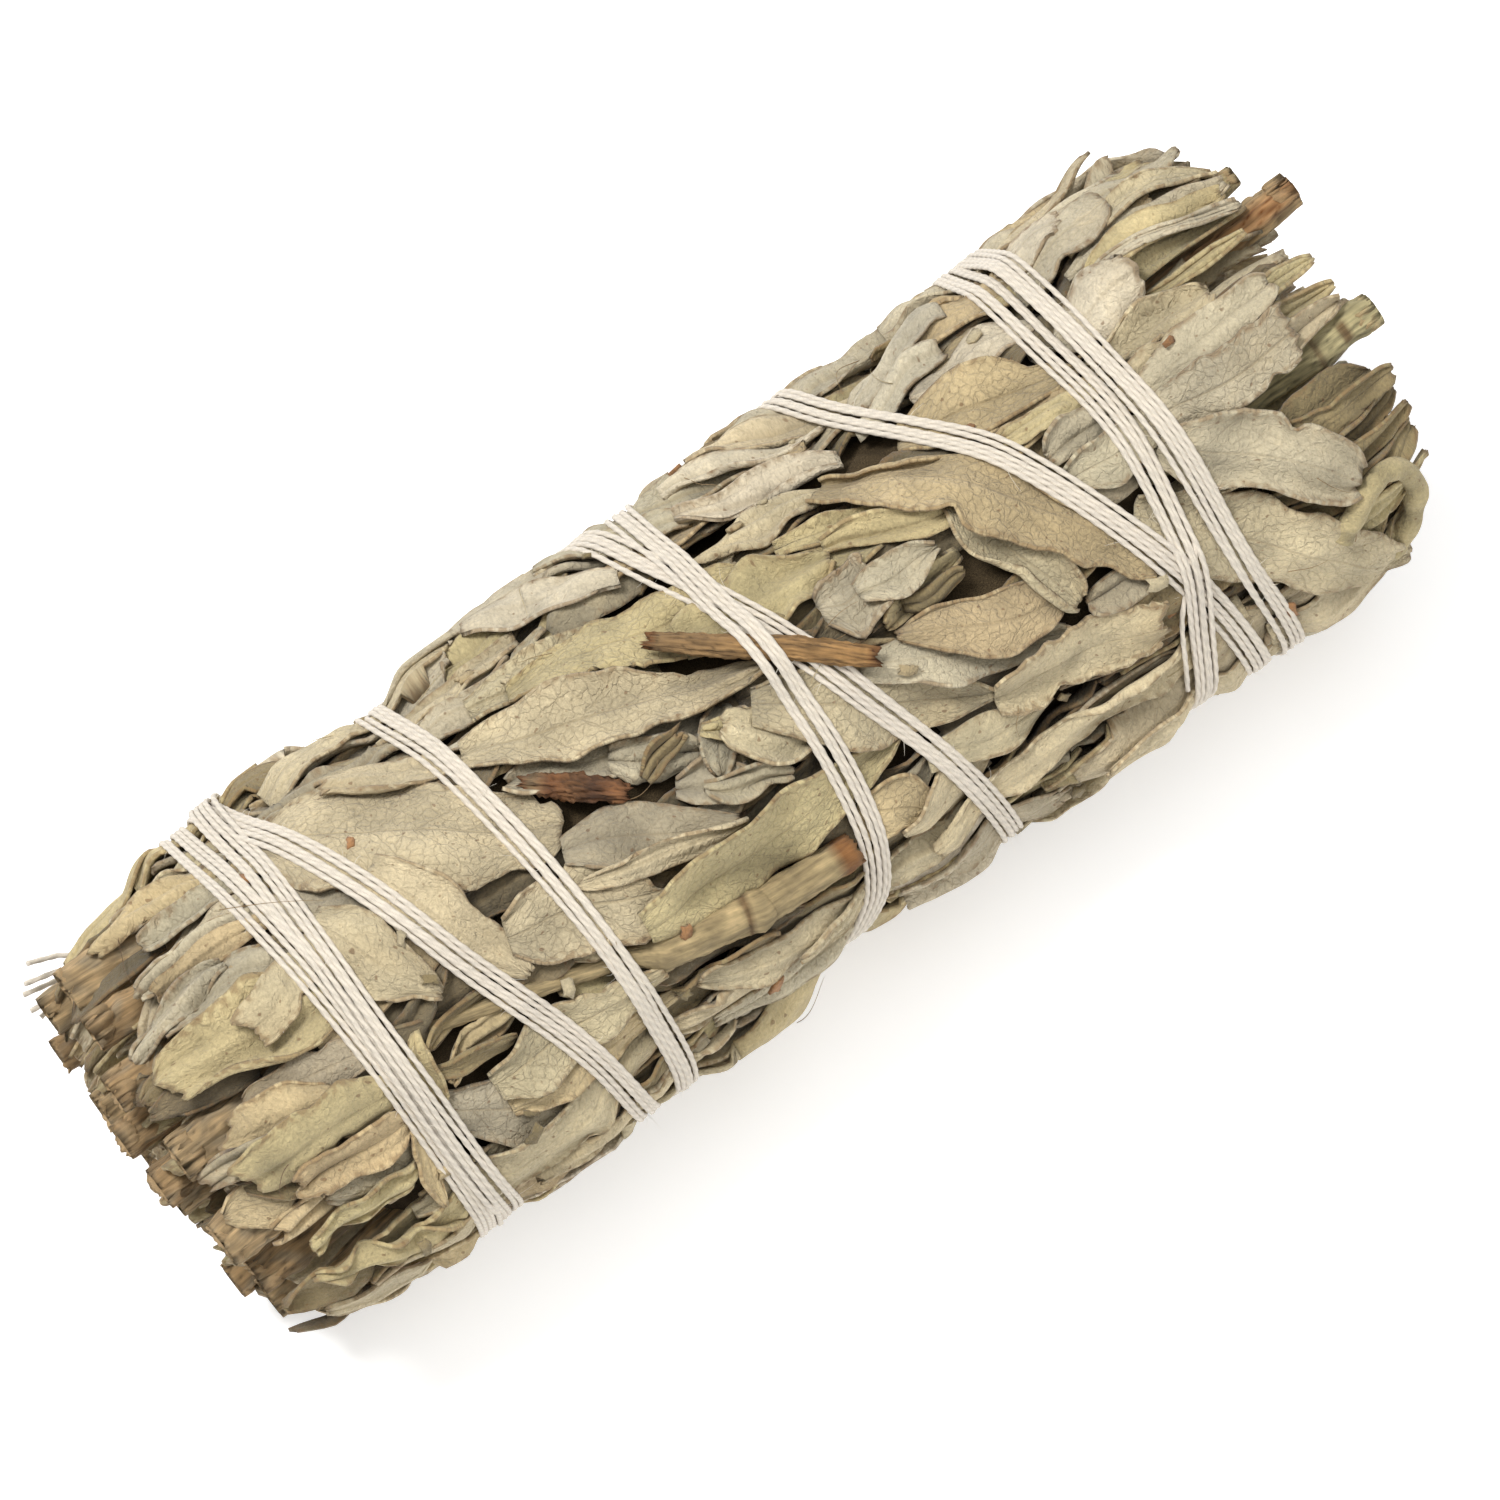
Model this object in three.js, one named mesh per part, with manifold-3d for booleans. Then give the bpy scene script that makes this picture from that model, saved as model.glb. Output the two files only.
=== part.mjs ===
// Dried white sage bunch: leafy sprigs and their woody stems, wound with a band of cotton thread.
// Millimetres, +Z up. The bunch lies along X, cut stems at -X and leaf tips at +X.

import * as THREE from "three";
import Module from "manifold-3d";

const wasm = await Module();
wasm.setup();

// Size of the bunch. "Along" is counted from the butt of the leaves towards the tips.
const STEMS_END = -6;
const TIPS_END = 108.6;
const FACE_RADIUS = 19.5;
const CORE_RADIUS = 14.2;
const CORE_START = 3;
const CORE_END = 96;
const AXIS_HEIGHT = 19.1;
const SIDE_SHIFT = 0.5;
const MIDDLE = (STEMS_END + TIPS_END) / 2;

// The leaf list describes the face that leans this far from straight up, as it is seen from a little
// nearer the butt, so that what stands closer to the eye looks further along.
const FACE_LEAN = THREE.MathUtils.degToRad(11.2);
const EYE_LEAN = THREE.MathUtils.degToRad(8.4);
const EYE_DISTANCE = 420;
const EYE_DEPTH = 14;

const SPRIG_COUNT = 6;
const LEAF_THICKNESS = 0.7;
const LEAF_PITCH = 1;
const LEAF_LAYERS = 5;
const CLEARANCE = 0.3;
const ROOT_DEPTH = 1.4;
const ROOT_SIZE = 1;

// The thread is a flat band of strands.
const BAND_WIDTH = 2;
const BAND_THICKNESS = 0.6;
const BAND_STEPS_PER_TURN = 16;

// Seeded draws, so that the bunch always grows the same way.
function seededDraws(seed) {
  let state = seed >>> 0;
  return () => {
    state = (state + 0x6d2b79f5) >>> 0;
    let mixed = Math.imul(state ^ (state >>> 15), state | 1);
    mixed ^= mixed + Math.imul(mixed ^ (mixed >>> 7), mixed | 61);
    return ((mixed ^ (mixed >>> 14)) >>> 0) / 4294967296;
  };
}
const draw = seededDraws(20);
const between = (low, high) => low + (high - low) * draw();

// A place on the seen face becomes a place along the bunch and an angle around it.
function onFace(seenAlong, seenAcross) {
  const across = seenAcross - 1 + 0.0256 * seenAlong;
  const share = THREE.MathUtils.clamp(across / FACE_RADIUS, -0.985, 0.985);
  const offset = Math.asin(share);
  const lean = EYE_LEAN + (seenAlong - MIDDLE) / EYE_DISTANCE;
  const along = seenAlong - (FACE_RADIUS * Math.cos(offset) - EYE_DEPTH) * Math.tan(lean);
  return { along, turn: FACE_LEAN + offset };
}

// Both ends of the bunch round off a little.
function endTaper(along) {
  const tip = Math.max(0, along - 97);
  const butt = Math.max(0, 3 - along);
  return 0.04 * tip * tip + 0.05 * butt * butt;
}

function place(along, turn, radius) {
  const reach = Math.max(0.4, radius - endTaper(along));
  const y = -reach * Math.sin(turn) + SIDE_SHIFT;
  return new THREE.Vector3(along - MIDDLE, y, AXIS_HEIGHT + reach * Math.cos(turn));
}

// Thread route: one row for each turn, with the seen place along the bunch at five places across the
// face, from its upper edge to its lower edge. The winding goes to the tips and comes back.
const THREAD_TURNS = [
  [10.4, 11.3, 12.4, 12.5, 12.4],
  [13.8, 17.2, 22, 26.2, 28],
  [46.8, 52.2, 57.8, 61.2, 61.8],
  [66.5, 73.4, 81, 84.4, 84.2],
  [85, 87.6, 89.4, 88.2, 87],
  [82.9, 85.4, 87, 83.8, 77.5],
  [52.3, 53.2, 54.6, 52.8, 47],
  [28.3, 30.2, 31.7, 31.8, 30.3],
  [14.8, 14.8, 14.6, 14.7, 15.4],
];
const TURN_STOPS = [-90, -45, 0, 45, 90].map(THREE.MathUtils.degToRad);
const KNOT_TURN = THREE.MathUtils.degToRad(-128);
const KNOT_ALONG = 13.4;

const FULL_TURN = 2 * Math.PI;
const threadStops = [{ turn: FACE_LEAN + KNOT_TURN, along: KNOT_ALONG - 1.4 }];
THREAD_TURNS.forEach((row, index) => {
  row.forEach((seen, stop) => {
    const across = FACE_RADIUS * Math.sin(TURN_STOPS[stop]) + 1 - 0.0256 * seen;
    const turn = FACE_LEAN + TURN_STOPS[stop] + index * FULL_TURN;
    threadStops.push({ turn, along: onFace(seen, across).along });
  });
});
const lastTurn = FACE_LEAN + KNOT_TURN + THREAD_TURNS.length * FULL_TURN;
threadStops.push({ turn: lastTurn, along: KNOT_ALONG + 1.4 });

// Smooth route through the stops: a cubic between each pair, with the slope of their neighbours.
function threadAlong(turn) {
  let left = 0;
  while (left < threadStops.length - 2 && turn > threadStops[left + 1].turn) left += 1;
  const slope = (index) => {
    const before = threadStops[Math.max(0, index - 1)];
    const after = threadStops[Math.min(threadStops.length - 1, index + 1)];
    return (after.along - before.along) / (after.turn - before.turn);
  };
  const a = threadStops[left];
  const b = threadStops[left + 1];
  const gap = b.turn - a.turn;
  const t = (turn - a.turn) / gap;
  const s = 1 - t;
  const ends = a.along * s * s * (1 + 2 * t) + b.along * t * t * (1 + 2 * s);
  return ends + gap * t * s * (slope(left) * s - slope(left + 1) * t);
}

const bandCount = Math.round((lastTurn - threadStops[0].turn) / (FULL_TURN / BAND_STEPS_PER_TURN));
const band = [];
for (let step = 0; step <= bandCount; step += 1) {
  const turn = threadStops[0].turn + ((lastTurn - threadStops[0].turn) * step) / bandCount;
  band.push({ turn, along: threadAlong(turn), radius: 0 });
}

// The unrolled skin is counted in small cells, and each one keeps the height of what lies on it.
const ARC_RADIUS = 18;
const CELL = 0.5;
const SKIN_START = -12;
const SKIN_ROWS = 256;
const SKIN_COLUMNS = 240;
const ARC_CELL = (FULL_TURN * ARC_RADIUS) / SKIN_COLUMNS;
const skinTop = new Float64Array(SKIN_ROWS * SKIN_COLUMNS);

function cellAt(along, arc) {
  const row = Math.floor((along - SKIN_START) / CELL + 0.5);
  const column = Math.floor(arc / ARC_CELL + 0.5) % SKIN_COLUMNS;
  const wrapped = (column + SKIN_COLUMNS) % SKIN_COLUMNS;
  return THREE.MathUtils.clamp(row, 0, SKIN_ROWS - 1) * SKIN_COLUMNS + wrapped;
}
function cellPlace(cell) {
  const along = SKIN_START + CELL * Math.floor(cell / SKIN_COLUMNS);
  return { along, turn: ((cell % SKIN_COLUMNS) * ARC_CELL) / ARC_RADIUS };
}

// A closed solid through a row of rings. Each ring has the same even number of points: the first half
// is its upper side and the second half its lower side, and both are split into triangles alike.
function loft(rings) {
  const count = rings[0].length;
  const points = rings.flat();
  const faces = [];
  for (let ring = 0; ring + 1 < rings.length; ring += 1) {
    for (let k = 0; k < count; k += 1) {
      const a = ring * count + k;
      const b = ring * count + ((k + 1) % count);
      const upper = k < count / 2;
      faces.push(upper ? [a, b, b + count] : [a, b, a + count]);
      faces.push(upper ? [a, b + count, a + count] : [b, b + count, a + count]);
    }
  }
  const last = (rings.length - 1) * count;
  for (let k = 0; k + 1 < count / 2; k += 1) {
    const far = count - 1 - k;
    faces.push([k, far, far - 1], [k, far - 1, k + 1]);
    faces.push([last + k, last + far - 1, last + far], [last + k, last + k + 1, last + far - 1]);
  }
  let volume = 0;
  for (const [a, b, c] of faces) {
    volume += points[a].dot(new THREE.Vector3().crossVectors(points[b], points[c]));
  }
  const turned = volume < 0 ? faces.map(([a, b, c]) => [a, c, b]) : faces;
  return new wasm.Manifold(
    new wasm.Mesh({
      numProp: 3,
      vertProperties: new Float32Array(points.flatMap((point) => point.toArray())),
      triVerts: new Uint32Array(turned.flat()),
    })
  );
}

// Stems: angle from the middle of the seen face, distance from the axis, width, cut end, hidden end.
const STEMS = [
  ["stem_1", -63, 15.6, 4, -2.5, 26],
  ["stem_2", -44, 14.8, 3, -3, 24],
  ["stem_3", -23, 14.8, 3.2, -4.6, 30],
  ["stem_4", -17, 8.6, 3, STEMS_END, 40],
  ["stem_5", 4, 15, 3.7, -3.7, 28],
  ["stem_6", 13, 8.4, 3.5, -5.8, 44],
  ["stem_7", 33, 14.6, 3.8, -4.6, 30],
  ["stem_8", 55, 14.2, 3, -3.7, 26],
  ["stem_9", 82, 15.6, 2.2, -1, 22],
  ["stem_10", 106, 14.2, 3.4, -3.2, 28],
  ["stem_11", 131, 14.6, 3, -4.4, 30],
  ["stem_12", 156, 14.4, 3.6, -2.8, 26],
  ["stem_13", 181, 14.8, 3.2, -4, 30],
  ["stem_14", 206, 14.2, 3.8, -3.4, 24],
  ["stem_15", 230, 13.8, 2.8, -5, 28],
  ["stem_16", 260, 13.6, 3.4, -4.2, 26],
  ["stem_17", 40, 4.6, 3.4, -5.2, 46],
  ["stem_18", 160, 5, 3.2, -4.6, 50],
  ["stem_19", 280, 5.2, 3.6, -5.5, 42],
  ["brown_tip_stem", -36, 13.4, 2.8, TIPS_END, 78],
  ["thin_tip_stem", -58, 14.2, 1.9, 106.5, 84],
  ["jointed_tip_stem", 9, 14, 3, 107.4, 80],
];

// An outer stem runs deeper into the bunch from its cut end.
const stemReach = (reach, share) => (reach > 12 ? reach - 2.5 * share : reach);

// The broken pale stem lies in the leaves, thin first, then thick to a joint and a torn end.
const BROKEN_STEM = [
  [17, 5.2, 1.1],
  [25, 7.6, 1.3],
  [33, 10.2, 1.5],
  [35, 11.2, 2.8],
  [41.6, 12.4, 3],
  [42.5, 12.6, 3.4],
  [43.4, 12.8, 2.9],
  [53, 13.4, 2.7],
];
const BROKEN_STEM_BED = CORE_RADIUS + 1.5;

// Leaves of the seen face, lowest first: root along and across, tip along and across, width, sideways
// bow, and the width left at the tip as a share of the leaf's own.
const FACE_LEAVES = [
  [14, -17.6, 3.5, -18.2, 3.4, 0, 0.6],
  [12, -16.2, 1, -16, 3.2, 0, 0.6],
  [14, -13.4, 4, -14.5, 3, 0.5, 0.6],
  [13.5, -11.8, 1.5, -11, 1.9, 0.7, 0.7],
  [13, -10.6, 1.7, -10.2, 1.8, 0.6, 0.7],
  [13.5, -9.4, 2.5, -9.3, 1.9, 0.6, 0.7],
  [13, -5.5, 2.7, -7.5, 3.8, 0.3, 0.7],
  [13, 3.6, 3, 1.5, 4, 0, 0.45],
  [9, 5, 0.3, 3.2, 4.4, 0, 0.8],
  [14, -1.3, -0.5, -3, 7.2, 0.3, 0.6],
  [13.4, -5, 6.5, -2.5, 3.8, 0, 0.8],
  [13.5, 7.2, 0, 6, 4.8, 0, 0.9],
  [12.5, 14.3, 4, 11.2, 4.4, 0, 0.25],
  [13.4, 10.3, 2.5, 9.3, 3.5, 0, 0.7],
  [11, 13.6, 1, 14, 2.8, 0.5, 0.6],
  [12.6, 10.5, 10.7, 16.5, 2.3, 0, 0.3],
  [13.5, 19.3, 0, 16.3, 2.7, 0.9, 0.5],
  [15, 18.6, 3.5, 19, 3.2, 0, 0.5],
  [13, -9.5, 26.5, -4.5, 6, 0, 0.35],
  [14.5, 11, 25.5, 18, 5.4, 0, 0.4],
  [12, 17.2, 31, 16.6, 5.4, 0.3, 0.4],
  [15, -15.2, 34.7, -2.5, 11, 0.6, 0.5],
  [31.5, -12.6, 21.5, -15, 4.4, 0, 0.7],
  [14.6, -5.4, 17.5, -0.6, 3.2, 0, 0.4],
  [14.8, -7, 19.5, 3.2, 6.2, 0, 0.15],
  [20, -9.2, 29, -3.5, 3.4, 0, 0.3],
  [20.5, -7.6, 26, 6.2, 5.8, 0, 0.2],
  [29.5, 6.8, 37.6, 7.4, 3.6, 0, 0.7],
  [26.4, 2.4, 37.4, 6, 7.2, 0, 0.85],
  [19, 14.4, 34, 15, 3, 0, 0.4],
  [19, 12.3, 34.2, 12, 5.4, 0, 0.15],
  [27, -17.4, 40, -17.8, 2.8, 0, 0.5],
  [29, -16.2, 41, -15.9, 2.4, 0, 0.5],
  [49, -16.6, 37, -18.8, 4, 0, 0.5],
  [56, -17.6, 44, -19.2, 3.2, 0, 0.5],
  [48.5, -3, 33, -8.5, 4.6, 0, 0.6],
  [40.5, -5, 46.5, -0.8, 3.8, 0, 0.5],
  [43.5, 0.4, 48.5, 3.8, 3.6, 0, 0.5],
  [50, -3.4, 46.4, 1.8, 3.2, 0, 0.4],
  [55.5, 4, 48.4, -1.2, 4.8, 0, 0.6],
  [33.5, -0.5, 45.5, 5.3, 5.4, 0, 0.15],
  [46, 5.8, 33, 2.4, 2.4, 0, 0.5],
  [31, -14.3, 46.5, -10.5, 3.6, 0, 0.2],
  [37, -14, 57, -10.5, 6.4, 0, 0.5],
  [31.5, -12.5, 54.5, -3.6, 6.2, 0.4, 0.12],
  [35, 8.3, 59, 8.3, 7, 0.3, 0.12],
  [52, 17.6, 36, 14.4, 3.6, 0, 0.5],
  [60, 16.6, 43, 16.6, 2.8, 0, 0.5],
  [50, 18.6, 35, 18, 3.6, 0, 0.5],
  [53.5, 10.8, 58, 14.4, 5.2, 0, 0.5],
  [55, 15, 67, 12.8, 4.8, 0, 0.4],
  [52, 18.2, 66, 18.4, 3.2, 0, 0.5],
  [50, -9.5, 63, -8, 5.8, 0, 0.5],
  [51.5, -1.6, 67.3, 10.3, 7, 0, 0.15],
  [68, -16, 55, -17.5, 3, 0, 0.6],
  [55, -19.2, 68, -18.4, 3.2, 0, 0.5],
  [73, -19.2, 58, -20, 2.8, 0, 0.5],
  [66, -14.2, 54, -14.6, 4.4, 0, 0.5],
  [60, -12, 72.5, -8.2, 2.2, 0.5, 0.5],
  [63, -9.4, 75, -5.4, 2.8, 0.6, 0.5],
  [60, 1, 74.7, 9.5, 4.6, 0, 0.3],
  [60, 11.5, 70.5, 14, 4.2, 0, 0.4],
  [67, 10, 80.5, 12.5, 6, 0, 0.7],
  [86, 16, 56, 16.4, 4, 0.3, 0.5],
  [86, 18, 70, 18, 3.2, 0, 0.5],
  [60, -4.6, 65, -4, 5.8, 0, 0.85],
  [63, -3.9, 70.2, -3.5, 3.8, 0, 0.15],
  [75.6, 6.4, 63.7, 0.7, 5.4, -0.4, 0.15],
  [73.2, -6, 76.4, 7.5, 6, 0, 0.5],
  [86, -15.4, 75, -16.2, 4.2, 0, 0.5],
  [80.5, -18.6, 70.5, -18.6, 2.8, 0, 0.5],
  [70, -17.4, 79, -17.2, 2.6, 0, 0.8],
  [72.5, -14.5, 87, -10, 6.4, 0.3, 0.15],
  [88, -7.6, 79, -8, 2.6, -0.6, 0.6],
  [88.4, -5, 81, -4.6, 3.2, 0, 0.7],
  [81.5, -1.8, 88.6, -1.4, 4.2, 0, 0.8],
  [85, 9, 77, 8.2, 3.4, 0, 0.5],
  [65, -14, 83, 8.6, 7, -2, 0.5],
  [92, -11, 104.6, -12.2, 2.2, 0, 0.5],
  [92, 5.2, 106.5, 6.4, 2.8, 0, 0.6],
  [92.5, 7.8, 106, 8.4, 2.6, 0, 0.6],
  [93, 9.8, 106, 10, 2.6, 0, 0.6],
  [92, 15.4, 102.5, 12, 3.4, 1.5, 0.6],
  [91, -5.4, 107, -5.6, 2.6, 0, 0.5],
  [92, -3.4, 107, -2.8, 2.2, 0, 0.4],
  [91.5, -0.2, 106.6, -0.6, 3.2, 0, 0.5],
  [90, -15.6, 104.3, -14.8, 2.3, 0.3, 0.4],
  [90, -13.8, 103.5, -13.8, 2.7, 0, 0.5],
  [91, -17.6, 102.3, -18.2, 2.9, 0, 0.6],
  [84, -20.5, 96, -21, 3, 0, 0.5],
  [86, -17.6, 95.5, -17, 5.4, 0, 0.7],
  [85.5, -19.2, 91.5, -18, 4, 0, 0.8],
  [87, -13, 92.5, -12.4, 4.6, 0, 0.85],
  [88.4, -12.4, 94.2, -12, 5.2, 0, 0.85],
  [88, -8.7, 98.3, -7.8, 4.2, 0, 0.8],
  [88, -5, 95.5, -5, 4.2, 0, 0.8],
  [88.4, -4.4, 102.5, -6.2, 3.6, 0.6, 0.7],
  [88.5, -1.2, 101.5, -0.5, 5.4, 0, 0.92],
  [86, 17.6, 98, 17.6, 3.8, 0, 0.4],
  [84, 3.6, 98.5, 17, 8.2, 0.5, 0.2],
  [88, 0.6, 98, 11, 6.8, -0.5, 0.7],
];

const leaves = [];
function addLeaf(root, tip, width, bow, tipShare, keel = false) {
  leaves.push({
    keel,
    root: { along: root.along, arc: root.turn * ARC_RADIUS },
    tip: { along: tip.along, arc: tip.turn * ARC_RADIUS },
    width,
    bow,
    tipShare,
    wave: between(0.05, 0.13),
    phase: between(0, FULL_TURN),
  });
}

// The hidden face is covered by rule: rows of long leaves that overlap lengthwise and sideways.
const HIDDEN_ROWS = 10;
const HIDDEN_STEPS = 6;
for (let step = 0; step < HIDDEN_STEPS; step += 1) {
  for (let row = 0; row < HIDDEN_ROWS; row += 1) {
    const degrees = 80 + (200 * row) / (HIDDEN_ROWS - 1) + between(-6, 6);
    const turn = FACE_LEAN + THREE.MathUtils.degToRad(degrees);
    const start = 9 + 15 * step + 7.5 * (row % 2) + between(-3, 3);
    const backwards = step === 0 && row % 2 === 0;
    const reach = backwards ? -between(11, 14) : Math.min(between(16, 24), 104 - start);
    const tip = { along: start + reach, turn: turn + between(-0.22, 0.22) };
    addLeaf({ along: start, turn }, tip, between(5, 8.5), between(-1, 1), between(0.15, 0.6));
  }
}
for (const [rootAlong, rootAcross, tipAlong, tipAcross, width, bow, tipShare] of FACE_LEAVES) {
  addLeaf(onFace(rootAlong, rootAcross), onFace(tipAlong, tipAcross), width, bow, tipShare);
}

// The bunch rests on broad leaves between the turns of the thread.
const KEEL_LEAVES = [
  [28.3, 33.2],
  [46.5, 60],
  [75.5, 83.5],
];
for (const [start, end] of KEEL_LEAVES) {
  addLeaf({ along: start, turn: Math.PI }, { along: end, turn: Math.PI }, 6.5, 0, 0.7, true);
}

// A leaf is widest two fifths of the way from its root.
function leafShare(t, tipShare) {
  if (t < 0.4) return 0.45 + 0.55 * Math.sin((Math.PI / 2) * (t / 0.4));
  return tipShare + (1 - tipShare) * Math.cos((Math.PI / 2) * ((t - 0.4) / 0.6));
}

function leafSpot(leaf, t, w) {
  const run = leaf.tip.along - leaf.root.along;
  const rise = leaf.tip.arc - leaf.root.arc;
  const length = Math.hypot(run, rise);
  const half = Math.max(0.45, (leaf.width / 2) * leafShare(t, leaf.tipShare));
  const aside = leaf.bow * 4 * t * (1 - t) + w * half;
  return {
    along: leaf.root.along + run * t - (rise / length) * aside,
    arc: leaf.root.arc + rise * t + (run / length) * aside,
    half,
    length,
  };
}

// Cells that a leaf covers, with a margin around it or, below zero, without its rim.
function leafCells(leaf, margin) {
  const { length } = leafSpot(leaf, 0, 0);
  const rows = Math.ceil(length / 0.4);
  const columns = Math.ceil(leaf.width / 0.35);
  const cells = new Set();
  for (let i = 0; i <= rows; i += 1) {
    for (let j = 0; j <= columns; j += 1) {
      const t = (1 + (2 * margin) / length) * (i / rows) - margin / length;
      const { half } = leafSpot(leaf, t, 0);
      const share = Math.max(0, 1 + margin / half);
      const spot = leafSpot(leaf, t, ((2 * j) / columns - 1) * share);
      cells.add(cellAt(spot.along, spot.arc));
    }
  }
  return [...cells];
}

// Leaves lie in a few layers. Counted from the top, each leaf goes right below those that cover it, and
// one that finds no room is left out. Then all sink as low as they can.
const layerCells = Array.from({ length: LEAF_LAYERS }, () => new Uint8Array(skinTop.length));
const lowestLayer = new Int8Array(skinTop.length).fill(LEAF_LAYERS);

// Below the bunch the thread needs room between the leaves and the ground.
const THREAD_LAYER = 3;
for (let turn = threadStops[0].turn; turn < lastTurn; turn += ARC_CELL / ARC_RADIUS / 2) {
  if (Math.cos(turn) > -0.7) continue;
  for (let aside = -1.6; aside <= 1.6; aside += CELL / 2) {
    const cell = cellAt(threadAlong(turn) + aside, turn * ARC_RADIUS);
    lowestLayer[cell] = THREAD_LAYER;
    for (let layer = THREAD_LAYER; layer < LEAF_LAYERS; layer += 1) layerCells[layer][cell] = 1;
  }
}
for (const leaf of [...leaves].reverse()) {
  leaf.cells = leafCells(leaf, 0.5);
  let layer = Math.min(...leaf.cells.map((cell) => lowestLayer[cell])) - 1;
  for (let other = LEAF_LAYERS - 1; layer < 0 && other >= 0; other -= 1) {
    if (leaf.cells.every((cell) => layerCells[other][cell] === 0)) layer = other;
  }
  leaf.layer = layer;
  if (layer < 0) continue;
  for (const cell of leaf.cells) {
    layerCells[layer][cell] = 1;
    lowestLayer[cell] = Math.min(lowestLayer[cell], layer);
  }
}

// Height of a leaf's under side over the core.
const skinHeight = (level) => 0.4 + LEAF_PITCH * level;

// Stems near the skin fill the lowest layers, and no root goes down where they are.
const filled = new Int8Array(skinTop.length);
const stemCells = new Uint8Array(skinTop.length);
function fillStem(along, arc, width, top) {
  const layers = Math.ceil((top - skinHeight(0)) / LEAF_PITCH);
  if (layers <= 0) return;
  for (let aside = -width / 2; aside <= width / 2; aside += ARC_CELL / 2) {
    const cell = cellAt(along, arc + aside);
    filled[cell] = Math.max(filled[cell], layers);
    skinTop[cell] = Math.max(skinTop[cell], top);
    stemCells[cell] = 1;
  }
}
for (const [, angle, reach, width, cutEnd, hiddenEnd] of STEMS) {
  const arc = (FACE_LEAN + THREE.MathUtils.degToRad(angle)) * ARC_RADIUS;
  for (let share = 0; share <= 1; share += 0.01) {
    const along = cutEnd + (hiddenEnd - cutEnd) * share;
    const top = stemReach(reach, share) + 0.75 * width + CLEARANCE - CORE_RADIUS;
    fillStem(along, arc, width + 2, top);
  }
}
for (let stop = 0; stop + 1 < BROKEN_STEM.length; stop += 1) {
  for (let share = 0; share <= 1; share += 0.02) {
    const [along, across, thick] = BROKEN_STEM[stop].map(
      (value, k) => value * (1 - share) + BROKEN_STEM[stop + 1][k] * share
    );
    const spot = onFace(along, across);
    const top = BROKEN_STEM_BED + thick + CLEARANCE - CORE_RADIUS;
    fillStem(spot.along, spot.turn * ARC_RADIUS, thick + 2, top);
  }
}
const laid = leaves.filter((leaf) => leaf.layer >= 0).sort((a, b) => a.layer - b.layer);
for (const leaf of laid) {
  leaf.level = Math.max(...leaf.cells.map((cell) => filled[cell]));
  leaf.level = Math.min(leaf.level, leaf.layer);
  if (leaf.keel) leaf.level = leaf.layer;
  for (const cell of leaf.cells) filled[cell] = Math.max(filled[cell], leaf.level + 1);
}

// Each leaf grows from the leaf or core below it, as near its own root as it can, and belongs to the
// same sprig.
const SPRIG_ANGLE = FULL_TURN / SPRIG_COUNT;
const topLeaf = new Map();
function anchorLeaf(leaf) {
  const inner = leafCells(leaf, -0.8).filter((cell) => stemCells[cell] === 0);
  let best = null;
  for (const cell of inner) {
    const spot = cellPlace(cell);
    const below = topLeaf.get(cell);
    const sprig = Math.floor((((spot.turn % FULL_TURN) + FULL_TURN) % FULL_TURN) / SPRIG_ANGLE);
    const edge = Math.abs(spot.turn / SPRIG_ANGLE - Math.round(spot.turn / SPRIG_ANGLE)) * SPRIG_ANGLE;
    const onCore = spot.along > CORE_START + 1 && spot.along < CORE_END - 1;
    if (!below && (!onCore || edge * CORE_RADIUS < 1.2)) continue;
    const drop = leaf.level - (below ? below.level : -1);
    const away = Math.hypot(spot.along - leaf.root.along, spot.turn * ARC_RADIUS - leaf.root.arc);
    const cost = 10 * drop + (away % (FULL_TURN * ARC_RADIUS));
    if (best && best.cost <= cost) continue;
    best = { cost, ...spot, base: below ? below.level : -1, sprig: below ? below.sprig : sprig };
  }
  return best;
}
for (const leaf of laid) {
  leaf.anchor = anchorLeaf(leaf);
  if (!leaf.anchor) continue;
  leaf.sprig = leaf.anchor.sprig;
  for (const cell of leafCells(leaf, -0.8)) topLeaf.set(cell, leaf);
  const top = skinHeight(leaf.level) + LEAF_THICKNESS;
  for (const cell of leaf.cells) skinTop[cell] = Math.max(skinTop[cell], top);
}
const grown = laid.filter((leaf) => leaf.anchor);
const skinRadius = (along, turn) => CORE_RADIUS + skinTop[cellAt(along, turn * ARC_RADIUS)];

function rootSolid(leaf, grow) {
  const { along, turn, base } = leaf.anchor;
  const low = base < 0 ? -ROOT_DEPTH : skinHeight(base) + 0.2;
  const high = skinHeight(leaf.level) + 0.45;
  const side = ROOT_SIZE / 2 + grow;
  const rings = [low, high].map((height) => {
    const radius = CORE_RADIUS + height;
    return [
      place(along - side, turn - side / radius, radius),
      place(along - side, turn + side / radius, radius),
      place(along + side, turn + side / radius, radius),
      place(along + side, turn - side / radius, radius),
    ];
  });
  return loft(rings);
}

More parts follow.
